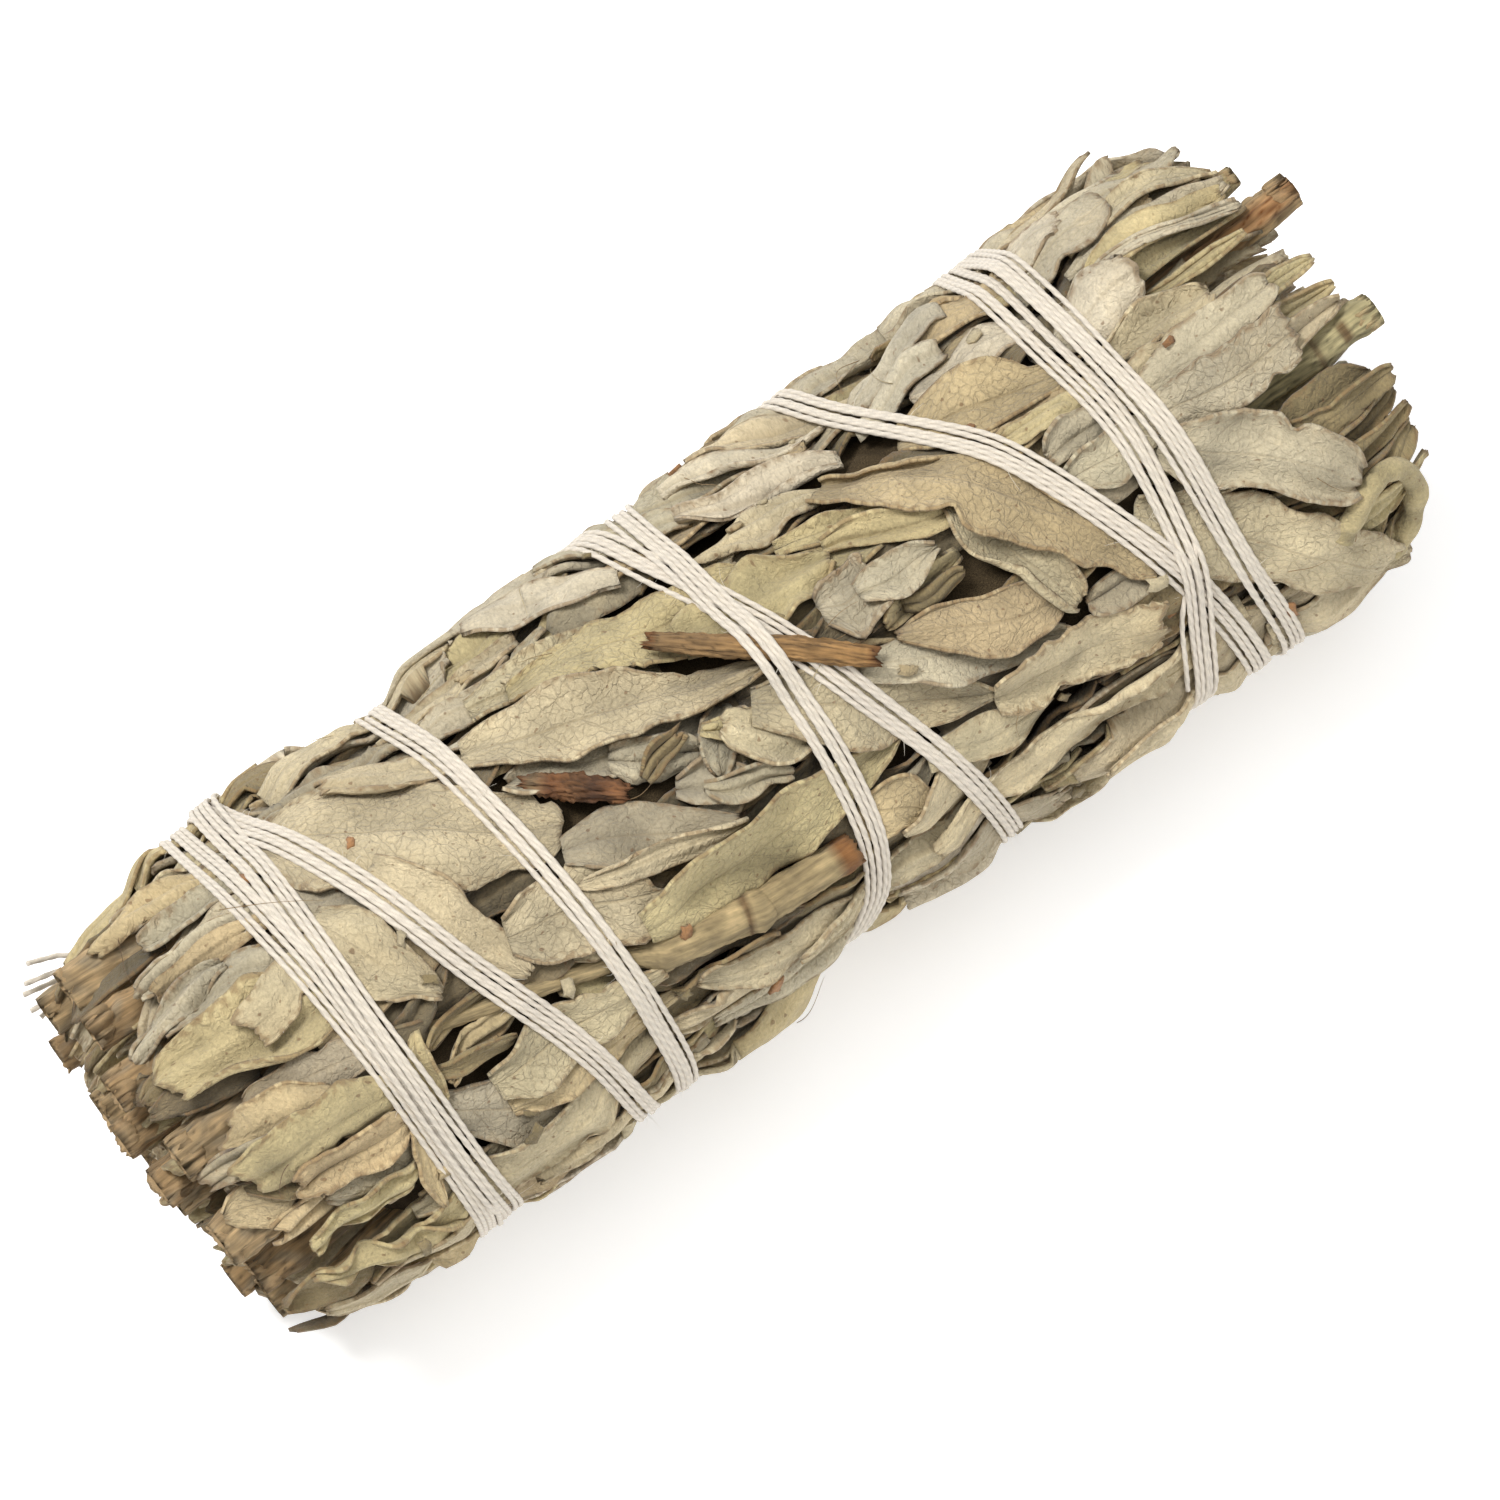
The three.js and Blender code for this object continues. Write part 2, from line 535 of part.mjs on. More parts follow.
// Blade of a leaf, with waved edges.
function leafSolid(leaf, grow) {
  const { length } = leafSpot(leaf, 0, 0);
  const swing = Math.abs(leaf.tip.arc - leaf.root.arc);
  const rows = Math.max(2, Math.ceil(length / 12), Math.ceil(swing / 5));
  const columns = leaf.width > 4 ? [-1, 0, 1] : [-1, 1];
  const rings = [];
  for (let row = 0; row <= rows; row += 1) {
    const t = row / rows;
    const upper = [];
    const lower = [];
    for (const w of columns) {
      const { half } = leafSpot(leaf, t, w);
      const over = row === 0 ? -grow : row === rows ? grow : 0;
      const spot = leafSpot(leaf, t + over / length, w * (1 + grow / half));
      const turn = spot.arc / ARC_RADIUS;
      const waved = leaf.wave * Math.abs(w) * Math.sin(leaf.phase + 2 * row + w);
      const radius = CORE_RADIUS + skinHeight(leaf.level) + waved;
      upper.push(place(spot.along, turn, radius + LEAF_THICKNESS + grow));
      lower.push(place(spot.along, turn, radius - grow));
    }
    rings.push([...upper, ...lower.reverse()]);
  }
  return loft(rings);
}

// Square stem with rounded corners and a thicker joint.
function stemSolid(angle, reach, width, cutEnd, hiddenEnd) {
  const stops = [
    [0, 0.96 * width],
    [0.12, 1.06 * width],
    [1, 0.86 * width],
  ];
  return loft(
    stops.map(([share, size]) => {
      const along = cutEnd + (hiddenEnd - cutEnd) * share;
      return stemRing(angle, along, size, stemReach(reach, share), 0.26);
    })
  );
}

function stemRing(angle, along, size, reach, corner) {
  const turn = FACE_LEAN + THREE.MathUtils.degToRad(angle);
  const ring = [];
  for (let side = 0; side < 4; side += 1) {
    const quarter = side * (Math.PI / 2) + 1.3 * turn;
    const ends = corner > 0 ? [corner - 0.5, 0.5 - corner] : [0.5];
    for (const end of ends) {
      const y = size * (0.5 * Math.cos(quarter) - end * Math.sin(quarter)) - reach * Math.sin(turn);
      const z = size * (0.5 * Math.sin(quarter) + end * Math.cos(quarter)) + reach * Math.cos(turn);
      ring.push(new THREE.Vector3(along - MIDDLE, y + SIDE_SHIFT, z + AXIS_HEIGHT));
    }
  }
  return ring;
}

// Plain square hole that a stem stands in.
function stemHole(angle, reach, width, cutEnd, hiddenEnd) {
  const over = CLEARANCE / Math.abs(hiddenEnd - cutEnd);
  return loft(
    [-over, 1 + over].map((share) => {
      const along = cutEnd + (hiddenEnd - cutEnd) * share;
      return stemRing(angle, along, 1.06 * width + 2 * CLEARANCE, stemReach(reach, share), 0);
    })
  );
}

// Rods that lie on the face: seen places with their thickness, on a bed of a given radius.
function rodRings(stops, bed, grow) {
  const path = stops.map(([seenAlong, seenAcross, thick]) => {
    const spot = onFace(seenAlong, seenAcross);
    return { ...spot, thick, radius: bed + thick / 2 };
  });
  const centres = path.map((spot) => place(spot.along, spot.turn, spot.radius));
  return path.map((spot, index) => {
    const before = centres[Math.max(0, index - 1)];
    const after = centres[Math.min(centres.length - 1, index + 1)];
    const ahead = after.clone().sub(before).normalize();
    const out = new THREE.Vector3(0, -Math.sin(spot.turn), Math.cos(spot.turn));
    const aside = new THREE.Vector3().crossVectors(ahead, out).normalize();
    const up = new THREE.Vector3().crossVectors(aside, ahead).normalize();
    const centre = centres[index].clone();
    if (index === 0) centre.addScaledVector(ahead, -grow);
    if (index === centres.length - 1) centre.addScaledVector(ahead, grow);
    const ring = [];
    for (let k = 0; k < 6; k += 1) {
      const angle = (k / 6) * FULL_TURN;
      const size = spot.thick / 2 + grow;
      ring.push(
        centre
          .clone()
          .addScaledVector(aside, size * Math.cos(angle))
          .addScaledVector(up, size * Math.sin(angle))
      );
    }
    return ring;
  });
}

// The band is pulled straight wherever it isn't held out by leaves, and lies on the highest of them.
function bandGround(spot) {
  let highest = CORE_RADIUS;
  for (let aside = -1.2; aside <= 1.21; aside += 0.4) {
    highest = Math.max(highest, skinRadius(spot.along + aside, spot.turn));
  }
  return highest + 2 * CLEARANCE;
}
for (const spot of band) spot.radius = bandGround(spot);
for (let pass = 0; pass < 10; pass += 1) {
  for (let reach = 1; reach <= 3; reach += 1) {
    for (let index = reach; index + reach < band.length; index += 1) {
      const a = band[index - reach];
      const b = band[index + reach];
      const half = (b.turn - a.turn) / 2;
      const taut = (2 * a.radius * b.radius * Math.cos(half)) / (a.radius + b.radius);
      band[index].radius = Math.max(band[index].radius, taut);
    }
  }
}

// The twig is caught under the returning band, and the scrap of bark between two leaves.
const LOOSE_TWIG = [
  [48.3, -9.8, 1.6],
  [52, -6.6, 2],
  [56.5, -3.2, 2],
  [60.7, 0.5, 1.7],
];
const BARK_SCRAP = [
  [34.5, -7.5, 1.2],
  [37.2, -4.6, 2],
  [39.8, -2, 1.3],
];
function restOf(stops) {
  const spots = stops.map(([along, across]) => onFace(along, across));
  return Math.max(...spots.map(({ along, turn }) => skinRadius(along, turn)));
}
const twigRest = restOf(LOOSE_TWIG) - 0.4;
const barkRest = restOf(BARK_SCRAP) - 0.4;
for (let index = 0; index < band.length; index += 1) {
  const spot = band[index];
  const aside = Math.atan2(Math.sin(spot.turn - FACE_LEAN), Math.cos(spot.turn - FACE_LEAN));
  const crossing = spot.along > 46 && spot.along < 60 && aside > -0.62 && aside < 0.2;
  if (crossing) spot.radius = Math.max(spot.radius, twigRest + 2.1 + CLEARANCE);
}

// Rings of the band, flat side on the leaves.
function bandRings(from, to, grow) {
  const rings = [];
  for (let index = from; index <= to; index += 1) {
    const spot = band[index];
    const at = (step) => {
      const other = band[THREE.MathUtils.clamp(step, 0, band.length - 1)];
      return place(other.along, other.turn, other.radius + BAND_THICKNESS / 2);
    };
    const ahead = at(index + 1).sub(at(index - 1)).normalize();
    const out = new THREE.Vector3(0, -Math.sin(spot.turn), Math.cos(spot.turn));
    const aside = new THREE.Vector3().crossVectors(ahead, out).normalize();
    const up = new THREE.Vector3().crossVectors(aside, ahead).normalize();
    const centre = at(index);
    if (index === from) centre.addScaledVector(ahead, -grow - 0.2);
    if (index === to) centre.addScaledVector(ahead, grow + 0.2);
    const wide = BAND_WIDTH / 2 + grow;
    const thick = BAND_THICKNESS / 2 + grow;
    const outline = [
      [-0.8 * wide, thick],
      [0.8 * wide, thick],
      [wide, -thick],
      [-wide, -thick],
    ];
    rings.push(
      outline.map(([across, rise]) =>
        centre.clone().addScaledVector(aside, across).addScaledVector(up, rise)
      )
    );
  }
  return rings;
}

// Knot at the back, with the cut tails of the strands running to the butt.
const TAIL_FAN = [-5, -2.5, 0, 2.5, 5];
function tailSolids(grow) {
  const turn = FACE_LEAN + KNOT_TURN;
  const knotRadius = band[0].radius + BAND_THICKNESS / 2;
  return TAIL_FAN.map((fan, index) => {
    const stops = [13.4, 8, 3, -3.6 - 0.7 * (index % 3)];
    let held = knotRadius;
    const rings = stops.map((along, stop) => {
      const swung = turn + THREE.MathUtils.degToRad(fan) * (stop / 3);
      held = Math.max(held - 0.9, skinRadius(along, swung) + 0.6 + endTaper(along));
      const end = stop === 3 ? -grow : stop === 0 ? grow : 0;
      const size = 0.3 + grow;
      const side = size / held;
      return [
        place(along + end, swung - side, held - size),
        place(along + end, swung - side, held + size),
        place(along + end, swung + side, held + size),
        place(along + end, swung + side, held - size),
      ];
    });
    return loft(rings);
  });
}
function knotSolid(grow) {
  const turn = FACE_LEAN + KNOT_TURN;
  const radius = band[0].radius + BAND_THICKNESS / 2;
  const rings = [-1, -0.4, 0.4, 1].map((share) => {
    const size = (1.5 + grow) * Math.sqrt(1.08 - share * share);
    const ring = [];
    for (let k = 0; k < 6; k += 1) {
      const angle = (k / 6) * FULL_TURN;
      const along = KNOT_ALONG + 0.3 + share * (1.7 + grow);
      const swung = turn + (size * Math.cos(angle)) / radius;
      ring.push(place(along, swung, radius + 0.3 + 0.6 * size * Math.sin(angle)));
    }
    return ring;
  });
  return loft(rings);
}

function threadSolid(grow) {
  const pieces = [];
  for (let from = 0; from < band.length - 1; from += BAND_STEPS_PER_TURN) {
    const to = Math.min(band.length - 1, from + BAND_STEPS_PER_TURN);
    pieces.push(loft(bandRings(from, to, grow)));
  }
  return wasm.Manifold.union([...pieces, knotSolid(grow), ...tailSolids(grow)]);
}

// Core of one sprig: its inner leaves and shoots, pressed into one wedge of the bunch.
function coreSolid(sprig) {
  const start = sprig * SPRIG_ANGLE;
  const outline = [];
  const steps = 4;
  const inset = CLEARANCE / 2;
  const centreTurn = start + SPRIG_ANGLE / 2;
  const apex = inset / Math.sin(SPRIG_ANGLE / 2);
  for (let k = 0; k <= steps; k += 1) {
    const margin = inset / CORE_RADIUS;
    const turn = start + margin + ((SPRIG_ANGLE - 2 * margin) * k) / steps;
    outline.push([turn, CORE_RADIUS]);
  }
  outline.push([centreTurn, apex]);
  const rings = [CORE_START, CORE_END].map((along) =>
    outline.map(([turn, radius]) => {
      const y = -radius * Math.sin(turn) + SIDE_SHIFT;
      const z = AXIS_HEIGHT + radius * Math.cos(turn);
      return new THREE.Vector3(along - MIDDLE, y, z);
    })
  );
  return loft(rings);
}

// Inner leaves that stand out of the two ends of a sprig.
function endBlades(sprig) {
  const centre = (sprig + 0.5) * SPRIG_ANGLE;
  const spots = [
    [12.6, -0.19, 4, CORE_END - 7, between(100, 106)],
    [12.2, 0.2, 3.6, CORE_END - 7, between(99, 105)],
    [8.8, 0, 4.4, CORE_END - 7, between(101, 107)],
    [5.2, 0, 2.6, CORE_END - 7, between(100, 106)],
    [12.4, 0.02, 4.2, CORE_START + 7, between(-2, 1)],
    [7.6, 0, 3.6, CORE_START + 7, between(-3.5, 0)],
  ];
  return spots.map(([radius, swing, width, root, tip]) => {
    const bend = between(-1.2, 1.2);
    const cup = between(-0.5, 0.9);
    const rings = [0, 0.55, 1].map((t) => {
      const half = (width / 2) * leafShare(0.25 + 0.7 * t, 0.45);
      const along = root + (tip - root) * t;
      const upper = [];
      const lower = [];
      for (const w of [-1, 1]) {
        const turn = centre + swing + (w * half) / radius;
        const reach = radius + cup * (w * w - 0.5) * t + bend * t * t * 0.6;
        upper.push(place(along, turn, reach + LEAF_THICKNESS / 2));
        lower.push(place(along, turn, reach - LEAF_THICKNESS / 2));
      }
      return [...upper, ...lower.reverse()];
    });
    return loft(rings);
  });
}

function boxesMeet(a, b) {
  return [0, 1, 2].every((axis) => a.min[axis] <= b.max[axis] && b.min[axis] <= a.max[axis]);
}

function largestPiece(solid) {
  const pieces = solid.decompose();
  return pieces.reduce((kept, piece) => (piece.volume() > kept.volume() ? piece : kept));
}

// Everything below the ground is cut off flat.
function aboveGround(solid) {
  const reach = 200;
  const corners = [
    [-reach, -reach],
    [reach, -reach],
    [reach, reach],
    [-reach, reach],
  ];
  const ground = loft(
    [-reach, 0].map((z) => corners.map(([x, y]) => new THREE.Vector3(x, y, z)))
  );
  return solid.subtract(ground);
}

const twigSolid = (grow) => loft(rodRings(LOOSE_TWIG, twigRest, grow));
const barkSolid = (grow) => loft(rodRings(BARK_SCRAP, barkRest, grow));
const brokenSolid = (grow) => loft(rodRings(BROKEN_STEM, BROKEN_STEM_BED, grow));
const threadRoom = threadSolid(CLEARANCE);
const rodRoom = wasm.Manifold.union([
  ...STEMS.map(([, ...stem]) => stemHole(...stem)),
  twigSolid(CLEARANCE),
  barkSolid(CLEARANCE),
  brokenSolid(CLEARANCE),
]);

// A sprig is its core with its own leaves, and makes room for the leaves of others that lie over it.
for (const leaf of grown) {
  leaf.solid = leafSolid(leaf, 0);
  leaf.room = leafSolid(leaf, CLEARANCE / 2);
  leaf.rootSolid = rootSolid(leaf, 0);
  leaf.rootRoom = rootSolid(leaf, CLEARANCE / 2);
  leaf.box = leaf.room.boundingBox();
}
const sprigs = [];
for (let sprig = 0; sprig < SPRIG_COUNT; sprig += 1) {
  const pieces = [coreSolid(sprig), ...endBlades(sprig)];
  const own = grown.filter((leaf) => leaf.sprig === sprig);
  for (const leaf of own) {
    const over = grown.filter(
      (other) => other.sprig !== sprig && other.level > leaf.level && boxesMeet(other.box, leaf.box)
    );
    const rooms = over.map((other) => other.room);
    const piercing = over.filter((other) => other.anchor.base < leaf.level);
    rooms.push(...piercing.map((other) => other.rootRoom));
    pieces.push(leaf.solid.subtract(wasm.Manifold.union(rooms)));
    pieces.push(leaf.rootSolid);
  }
  const whole = wasm.Manifold.union(pieces).subtract(rodRoom).subtract(threadRoom);
  sprigs.push(largestPiece(aboveGround(whole)));
}

const group = new THREE.Group();
function addMesh(name, solid, material) {
  const mesh = solid.getMesh();
  const geometry = new THREE.BufferGeometry();
  geometry.setAttribute("position", new THREE.BufferAttribute(mesh.vertProperties, 3));
  geometry.setIndex(new THREE.BufferAttribute(mesh.triVerts, 1));
  geometry.computeVertexNormals();
  const node = new THREE.Mesh(geometry, new THREE.MeshStandardMaterial(material));
  node.name = name;
  group.add(node);
}

const LEAF_COLOURS = [0xcfc2a2, 0xc3b699, 0xd0bb92, 0xcbbfa6];
sprigs.forEach((solid, index) => {
  const color = LEAF_COLOURS[index % LEAF_COLOURS.length];
  addMesh(`sprig_${index + 1}`, solid, { color, roughness: 0.95, metalness: 0 });
});
STEMS.forEach(([name, ...stem]) => {
  const color = name.startsWith("stem") ? 0xa3885f : 0xb8925d;
  addMesh(name, stemSolid(...stem), { color, roughness: 0.85, metalness: 0 });
});
const twig = twigSolid(0).subtract(threadRoom);
addMesh("loose_twig", twig, { color: 0xa8723a, roughness: 0.7, metalness: 0 });
addMesh("bark_scrap", barkSolid(0), { color: 0x976d48, roughness: 0.8, metalness: 0 });
const broken = brokenSolid(0).subtract(threadRoom);
addMesh("broken_stem", broken, { color: 0xccb589, roughness: 0.8, metalness: 0 });
addMesh("thread", aboveGround(threadSolid(0)), { color: 0xece3d4, roughness: 0.95, metalness: 0 });

export default group;
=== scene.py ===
import math
import bpy
import numpy as np
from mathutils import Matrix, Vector


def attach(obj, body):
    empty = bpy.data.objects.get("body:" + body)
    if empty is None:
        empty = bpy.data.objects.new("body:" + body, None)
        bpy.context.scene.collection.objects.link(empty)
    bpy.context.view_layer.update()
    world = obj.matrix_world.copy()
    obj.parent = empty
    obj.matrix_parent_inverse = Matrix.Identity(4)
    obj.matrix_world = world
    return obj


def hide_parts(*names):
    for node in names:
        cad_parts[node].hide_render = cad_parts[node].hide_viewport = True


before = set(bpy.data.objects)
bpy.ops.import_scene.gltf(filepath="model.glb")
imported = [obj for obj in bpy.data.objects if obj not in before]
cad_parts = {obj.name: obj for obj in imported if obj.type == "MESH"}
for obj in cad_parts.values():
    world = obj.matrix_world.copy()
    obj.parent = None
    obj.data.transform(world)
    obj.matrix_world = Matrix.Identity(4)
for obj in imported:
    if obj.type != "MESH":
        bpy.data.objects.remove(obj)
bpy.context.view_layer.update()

# Woody stems: cut square sage stems form the heart of the bunch and stick out of its butt, and three
# younger ones reach out among the leaf tips. They are only held by the leaves packed around them.
MM = 0.001
STEMS_END = -6.0
TIPS_END = 108.6
AXIS_HEIGHT = 19.1
SIDE_SHIFT = 0.5
MIDDLE = (STEMS_END + TIPS_END) / 2
FULL_TURN = 2 * math.pi
FACE_LEAN = math.radians(11.2)
TIP_TAPER_START, TIP_TAPER = 97, 0.04
BUTT_TAPER_START, BUTT_TAPER = 3, 0.05
STEM_SIDES = 48
STEM_SHARES = np.concatenate([np.linspace(0, 0.34, 40), np.linspace(0.38, 1, 14)])
SQUARENESS = 2.4
STEM_SPIN = 1.3
OUTER_STEM = 12.0
OUTER_LEAN = 2.5
JOINT_SHARE, JOINT_SWELLING, JOINT_LENGTH = 0.12, 0.10, 0.03
GREEN_JOINT_SHARE, GREEN_JOINT_SWELLING = 0.215, 0.2
GREEN_SCAR_PLACE = 3.3
WEATHERED_GREY = np.array([0.36, 0.30, 0.20])
ORANGE_STREAK = np.array([0.0, -0.10, -0.08])
SCAR_BROWN = np.array([0.17, 0.09, 0.035])

# Rings of the hollow in a cut face, from its rim: share of the stem's radius, and depth.
CUT_HOLLOW = [(0.8, 0.05), (0.55, 0.16), (0.3, 0.34), (0.1, 0.42)]

# name, angle from the middle of the seen face, distance from the axis, width, cut end, hidden end, tone
STEMS = [
    ("stem_1", -63, 15.6, 4.0, -2.5, 26, "tan"),
    ("stem_2", -44, 14.8, 3.0, -3.0, 24, "brown"),
    ("stem_3", -23, 14.8, 3.2, -4.6, 30, "brown"),
    ("stem_4", -17, 8.6, 3.0, STEMS_END, 40, "brown"),
    ("stem_5", 4, 15.0, 3.7, -3.7, 28, "tan"),
    ("stem_6", 13, 8.4, 3.5, -5.8, 44, "brown"),
    ("stem_7", 33, 14.6, 3.8, -4.6, 30, "tan"),
    ("stem_8", 55, 14.2, 3.0, -3.7, 26, "brown"),
    ("stem_9", 82, 15.6, 2.2, -1.0, 22, "tan"),
    ("stem_10", 106, 14.2, 3.4, -3.2, 28, "tan"),
    ("stem_11", 131, 14.6, 3.0, -4.4, 30, "brown"),
    ("stem_12", 156, 14.4, 3.6, -2.8, 26, "tan"),
    ("stem_13", 181, 14.8, 3.2, -4.0, 30, "brown"),
    ("stem_14", 206, 14.2, 3.8, -3.4, 24, "tan"),
    ("stem_15", 230, 13.8, 2.8, -5.0, 28, "brown"),
    ("stem_16", 260, 13.6, 3.4, -4.2, 26, "tan"),
    ("stem_17", 40, 4.6, 3.4, -5.2, 46, "tan"),
    ("stem_18", 160, 5.0, 3.2, -4.6, 50, "brown"),
    ("stem_19", 280, 5.2, 3.6, -5.5, 42, "tan"),
    ("brown_tip_stem", -36, 14.6, 2.8, TIPS_END, 78, "orange"),
    ("thin_tip_stem", -58, 14.2, 1.9, 106.5, 84, "straw"),
    ("jointed_tip_stem", 9, 15.2, 3.0, 107.4, 80, "green"),
]
STEM_TONES = {
    "tan": (0.66, 0.46, 0.235),
    "brown": (0.53, 0.345, 0.165),
    "orange": (0.60, 0.43, 0.22),
    "straw": (0.58, 0.46, 0.24),
    "green": (0.62, 0.53, 0.28),
}
stem_draw = np.random.default_rng(7)


def end_taper(along):
    """How much the radius of the bunch shrinks towards its two ends."""
    tip = np.maximum(0, along - TIP_TAPER_START)
    butt = np.maximum(0, BUTT_TAPER_START - along)
    return TIP_TAPER * tip * tip + BUTT_TAPER * butt * butt


def place(along, turn, radius):
    """Point of the bunch in millimetres, from a place along it, an angle round it and a radius."""
    reach = np.maximum(0.4, radius - end_taper(along))
    x = along - MIDDLE + 0 * turn
    return np.stack([x, SIDE_SHIFT - reach * np.sin(turn), AXIS_HEIGHT + reach * np.cos(turn)], axis=-1)


def smooth_waves(draw, count, shortest, longest):
    """Sum of a few random waves over a plane, about -1 to 1, for crumpled and grown surfaces."""
    length = draw.uniform(shortest, longest, count)
    heading = draw.uniform(0, FULL_TURN, count)
    phase = draw.uniform(0, FULL_TURN, count)
    across = FULL_TURN / length * np.cos(heading)
    up = FULL_TURN / length * np.sin(heading)

    def waves(x, y):
        x = np.asarray(x, float)[..., None]
        y = np.asarray(y, float)[..., None]
        return np.sin(across * x + up * y + phase).sum(axis=-1) / math.sqrt(count)

    return waves


def stem_depth(reach, share):
    """Distance from the axis along a stem: an outer stem leans inward from its cut end."""
    return reach - (OUTER_LEAN * share if reach > OUTER_STEM else 0 * share)


def grid_faces(rows, columns, closed=False, start=0):
    """Quads between the points of a grid, which closes on itself sideways for a tube."""
    a = np.arange(rows * columns).reshape(rows, columns)
    b = np.roll(a, -1, axis=1)
    if not closed:
        a, b = a[:, :-1], b[:, :-1]
    return start + np.stack([a[:-1], b[:-1], b[1:], a[1:]], axis=-1).reshape(-1, 4)


def tube_faces(rings, sides):
    """Faces of a tube with both ends closed."""
    last = (rings - 1) * sides
    ends = [list(range(sides))[::-1], list(range(last, last + sides))]
    return grid_faces(rings, sides, closed=True).tolist() + ends


def new_piece(name, points, faces, material, colours=None, map_uv=None, values=None):
    """Smooth mesh in metres, with a colour, a flat map and single values at each point."""
    mesh = bpy.data.meshes.new(name)
    mesh.from_pydata((np.asarray(points) * MM).tolist(), [], [list(face) for face in faces])
    mesh.polygons.foreach_set("use_smooth", np.ones(len(mesh.polygons), bool))
    if colours is not None:
        rgba = np.concatenate([colours, np.ones((len(colours), 1))], axis=1).astype(np.float32)
        layer = mesh.attributes.new("tint", "FLOAT_COLOR", "POINT")
        layer.data.foreach_set("color", rgba.ravel())
    if map_uv is not None:
        corner = np.zeros(len(mesh.loops), np.int32)
        mesh.loops.foreach_get("vertex_index", corner)
        layer = mesh.uv_layers.new(name="SurfaceMap")
        layer.data.foreach_set("uv", np.asarray(map_uv, np.float32)[corner].ravel())
    for key, value in (values or {}).items():
        layer = mesh.attributes.new(key, "FLOAT", "POINT")
        layer.data.foreach_set("value", np.asarray(value, np.float32))
    mesh.materials.append(material)
    mesh.validate()
    piece = bpy.data.objects.new(name, mesh)
    bpy.context.scene.collection.objects.link(piece)
    return piece


def add_node(tree, kind, settings=None, inputs=None):
    """Node with its settings; inputs given as sockets are linked and the rest are set."""
    node = tree.nodes.new(kind)
    for key, value in (settings or {}).items():
        setattr(node, key, value)
    for key, value in (inputs or {}).items():
        if isinstance(value, bpy.types.NodeSocket):
            tree.links.new(value, node.inputs[key])
        else:
            node.inputs[key].default_value = value
    return node


def new_material(name, roughness, sheen):
    material = bpy.data.materials.new(name)
    material.use_nodes = True
    tree = material.node_tree
    shader = tree.nodes["Principled BSDF"]
    shader.inputs["Roughness"].default_value = roughness
    shader.inputs["Specular IOR Level"].default_value = 0.25
    shader.inputs["Sheen Weight"].default_value = sheen
    shader.inputs["Sheen Roughness"].default_value = 0.6
    return material, tree, shader


def new_group(name, inputs, outputs):
    """Empty node group with its sockets, and its input and output nodes."""
    group = bpy.data.node_groups.new(name, "ShaderNodeTree")
    for key, kind, value in inputs:
        socket = group.interface.new_socket(key, in_out="INPUT", socket_type=kind)
        if value is not None:
            socket.default_value = value
    for key, kind in outputs:
        group.interface.new_socket(key, in_out="OUTPUT", socket_type=kind)
    return group, group.nodes.new("NodeGroupInput"), group.nodes.new("NodeGroupOutput")


def mix_colour(tree, blend, factor, first, second):
    node = add_node(
        tree, "ShaderNodeMix", {"data_type": "RGBA", "blend_type": blend},
        {"Factor": factor, 6: first, 7: second},
    )
    return node.outputs[2]


def remap(tree, value, low, high, start=0.0, end=1.0):
    node = add_node(
        tree, "ShaderNodeMapRange", None,
        {"Value": value, "From Min": low, "From Max": high, "To Min": start, "To Max": end},
    )
    return node.outputs["Result"]


def math_node(tree, operation, first, second=0.0, third=0.0):
    node = add_node(tree, "ShaderNodeMath", {"operation": operation}, {0: first, 1: second, 2: third})
    return node.outputs[0]


def attribute(tree, name, output="Fac"):
    return add_node(tree, "ShaderNodeAttribute", {"attribute_name": name}).outputs[output]


def surface_map(tree):
    return add_node(tree, "ShaderNodeUVMap", {"uv_map": "SurfaceMap"}).outputs["UV"]


def noise(tree, vector, scale, detail, roughness=0.5):
    inputs = {"Scale": scale, "Detail": detail, "Roughness": roughness}
    if vector is not None:
        inputs["Vector"] = vector
    return add_node(tree, "ShaderNodeTexNoise", None, inputs)


def finish_surface(tree, shader, colour, relief, strength, depth):
    """Gives a shader its colour and its relief, whose depth is in metres."""
    bump = add_node(
        tree, "ShaderNodeBump", None, {"Strength": strength, "Distance": depth, "Height": relief}
    )
    tree.links.new(colour, shader.inputs["Base Color"])
    tree.links.new(bump.outputs["Normal"], shader.inputs["Normal"])


def make_fibre_group():
    """Long streaks of dry plant fibre along a surface map, as a colour and a height."""
    group, given, made = new_group(
        "fibre_grain",
        [("Vector", "NodeSocketVector", None), ("Colour", "NodeSocketColor", None),
         ("Dark", "NodeSocketFloat", 0.5)],
        [("Colour", "NodeSocketColor"), ("Height", "NodeSocketFloat")],
    )
    drawn_out = add_node(
        group, "ShaderNodeVectorMath", {"operation": "MULTIPLY"},
        {0: given.outputs["Vector"], 1: (2.2, 26.0, 1.0)},
    )
    streaks = noise(group, drawn_out.outputs[0], 1.0, 6.0, 0.62)
    blotches = noise(group, given.outputs["Vector"], 5.0, 4.0)
    depth = remap(group, streaks.outputs["Fac"], 0.3, 0.7)
    shade = remap(group, depth, 0.0, 1.0, 0.3, 1.38)
    blotch = remap(group, blotches.outputs["Fac"], 0.3, 0.72, 0.55, 1.25)
    both = math_node(group, "MULTIPLY", shade, blotch)
    darkened = mix_colour(group, "MULTIPLY", given.outputs["Dark"], given.outputs["Colour"], both)
    group.links.new(darkened, made.inputs["Colour"])
    group.links.new(depth, made.inputs["Height"])
    return group


fibre_group = make_fibre_group()


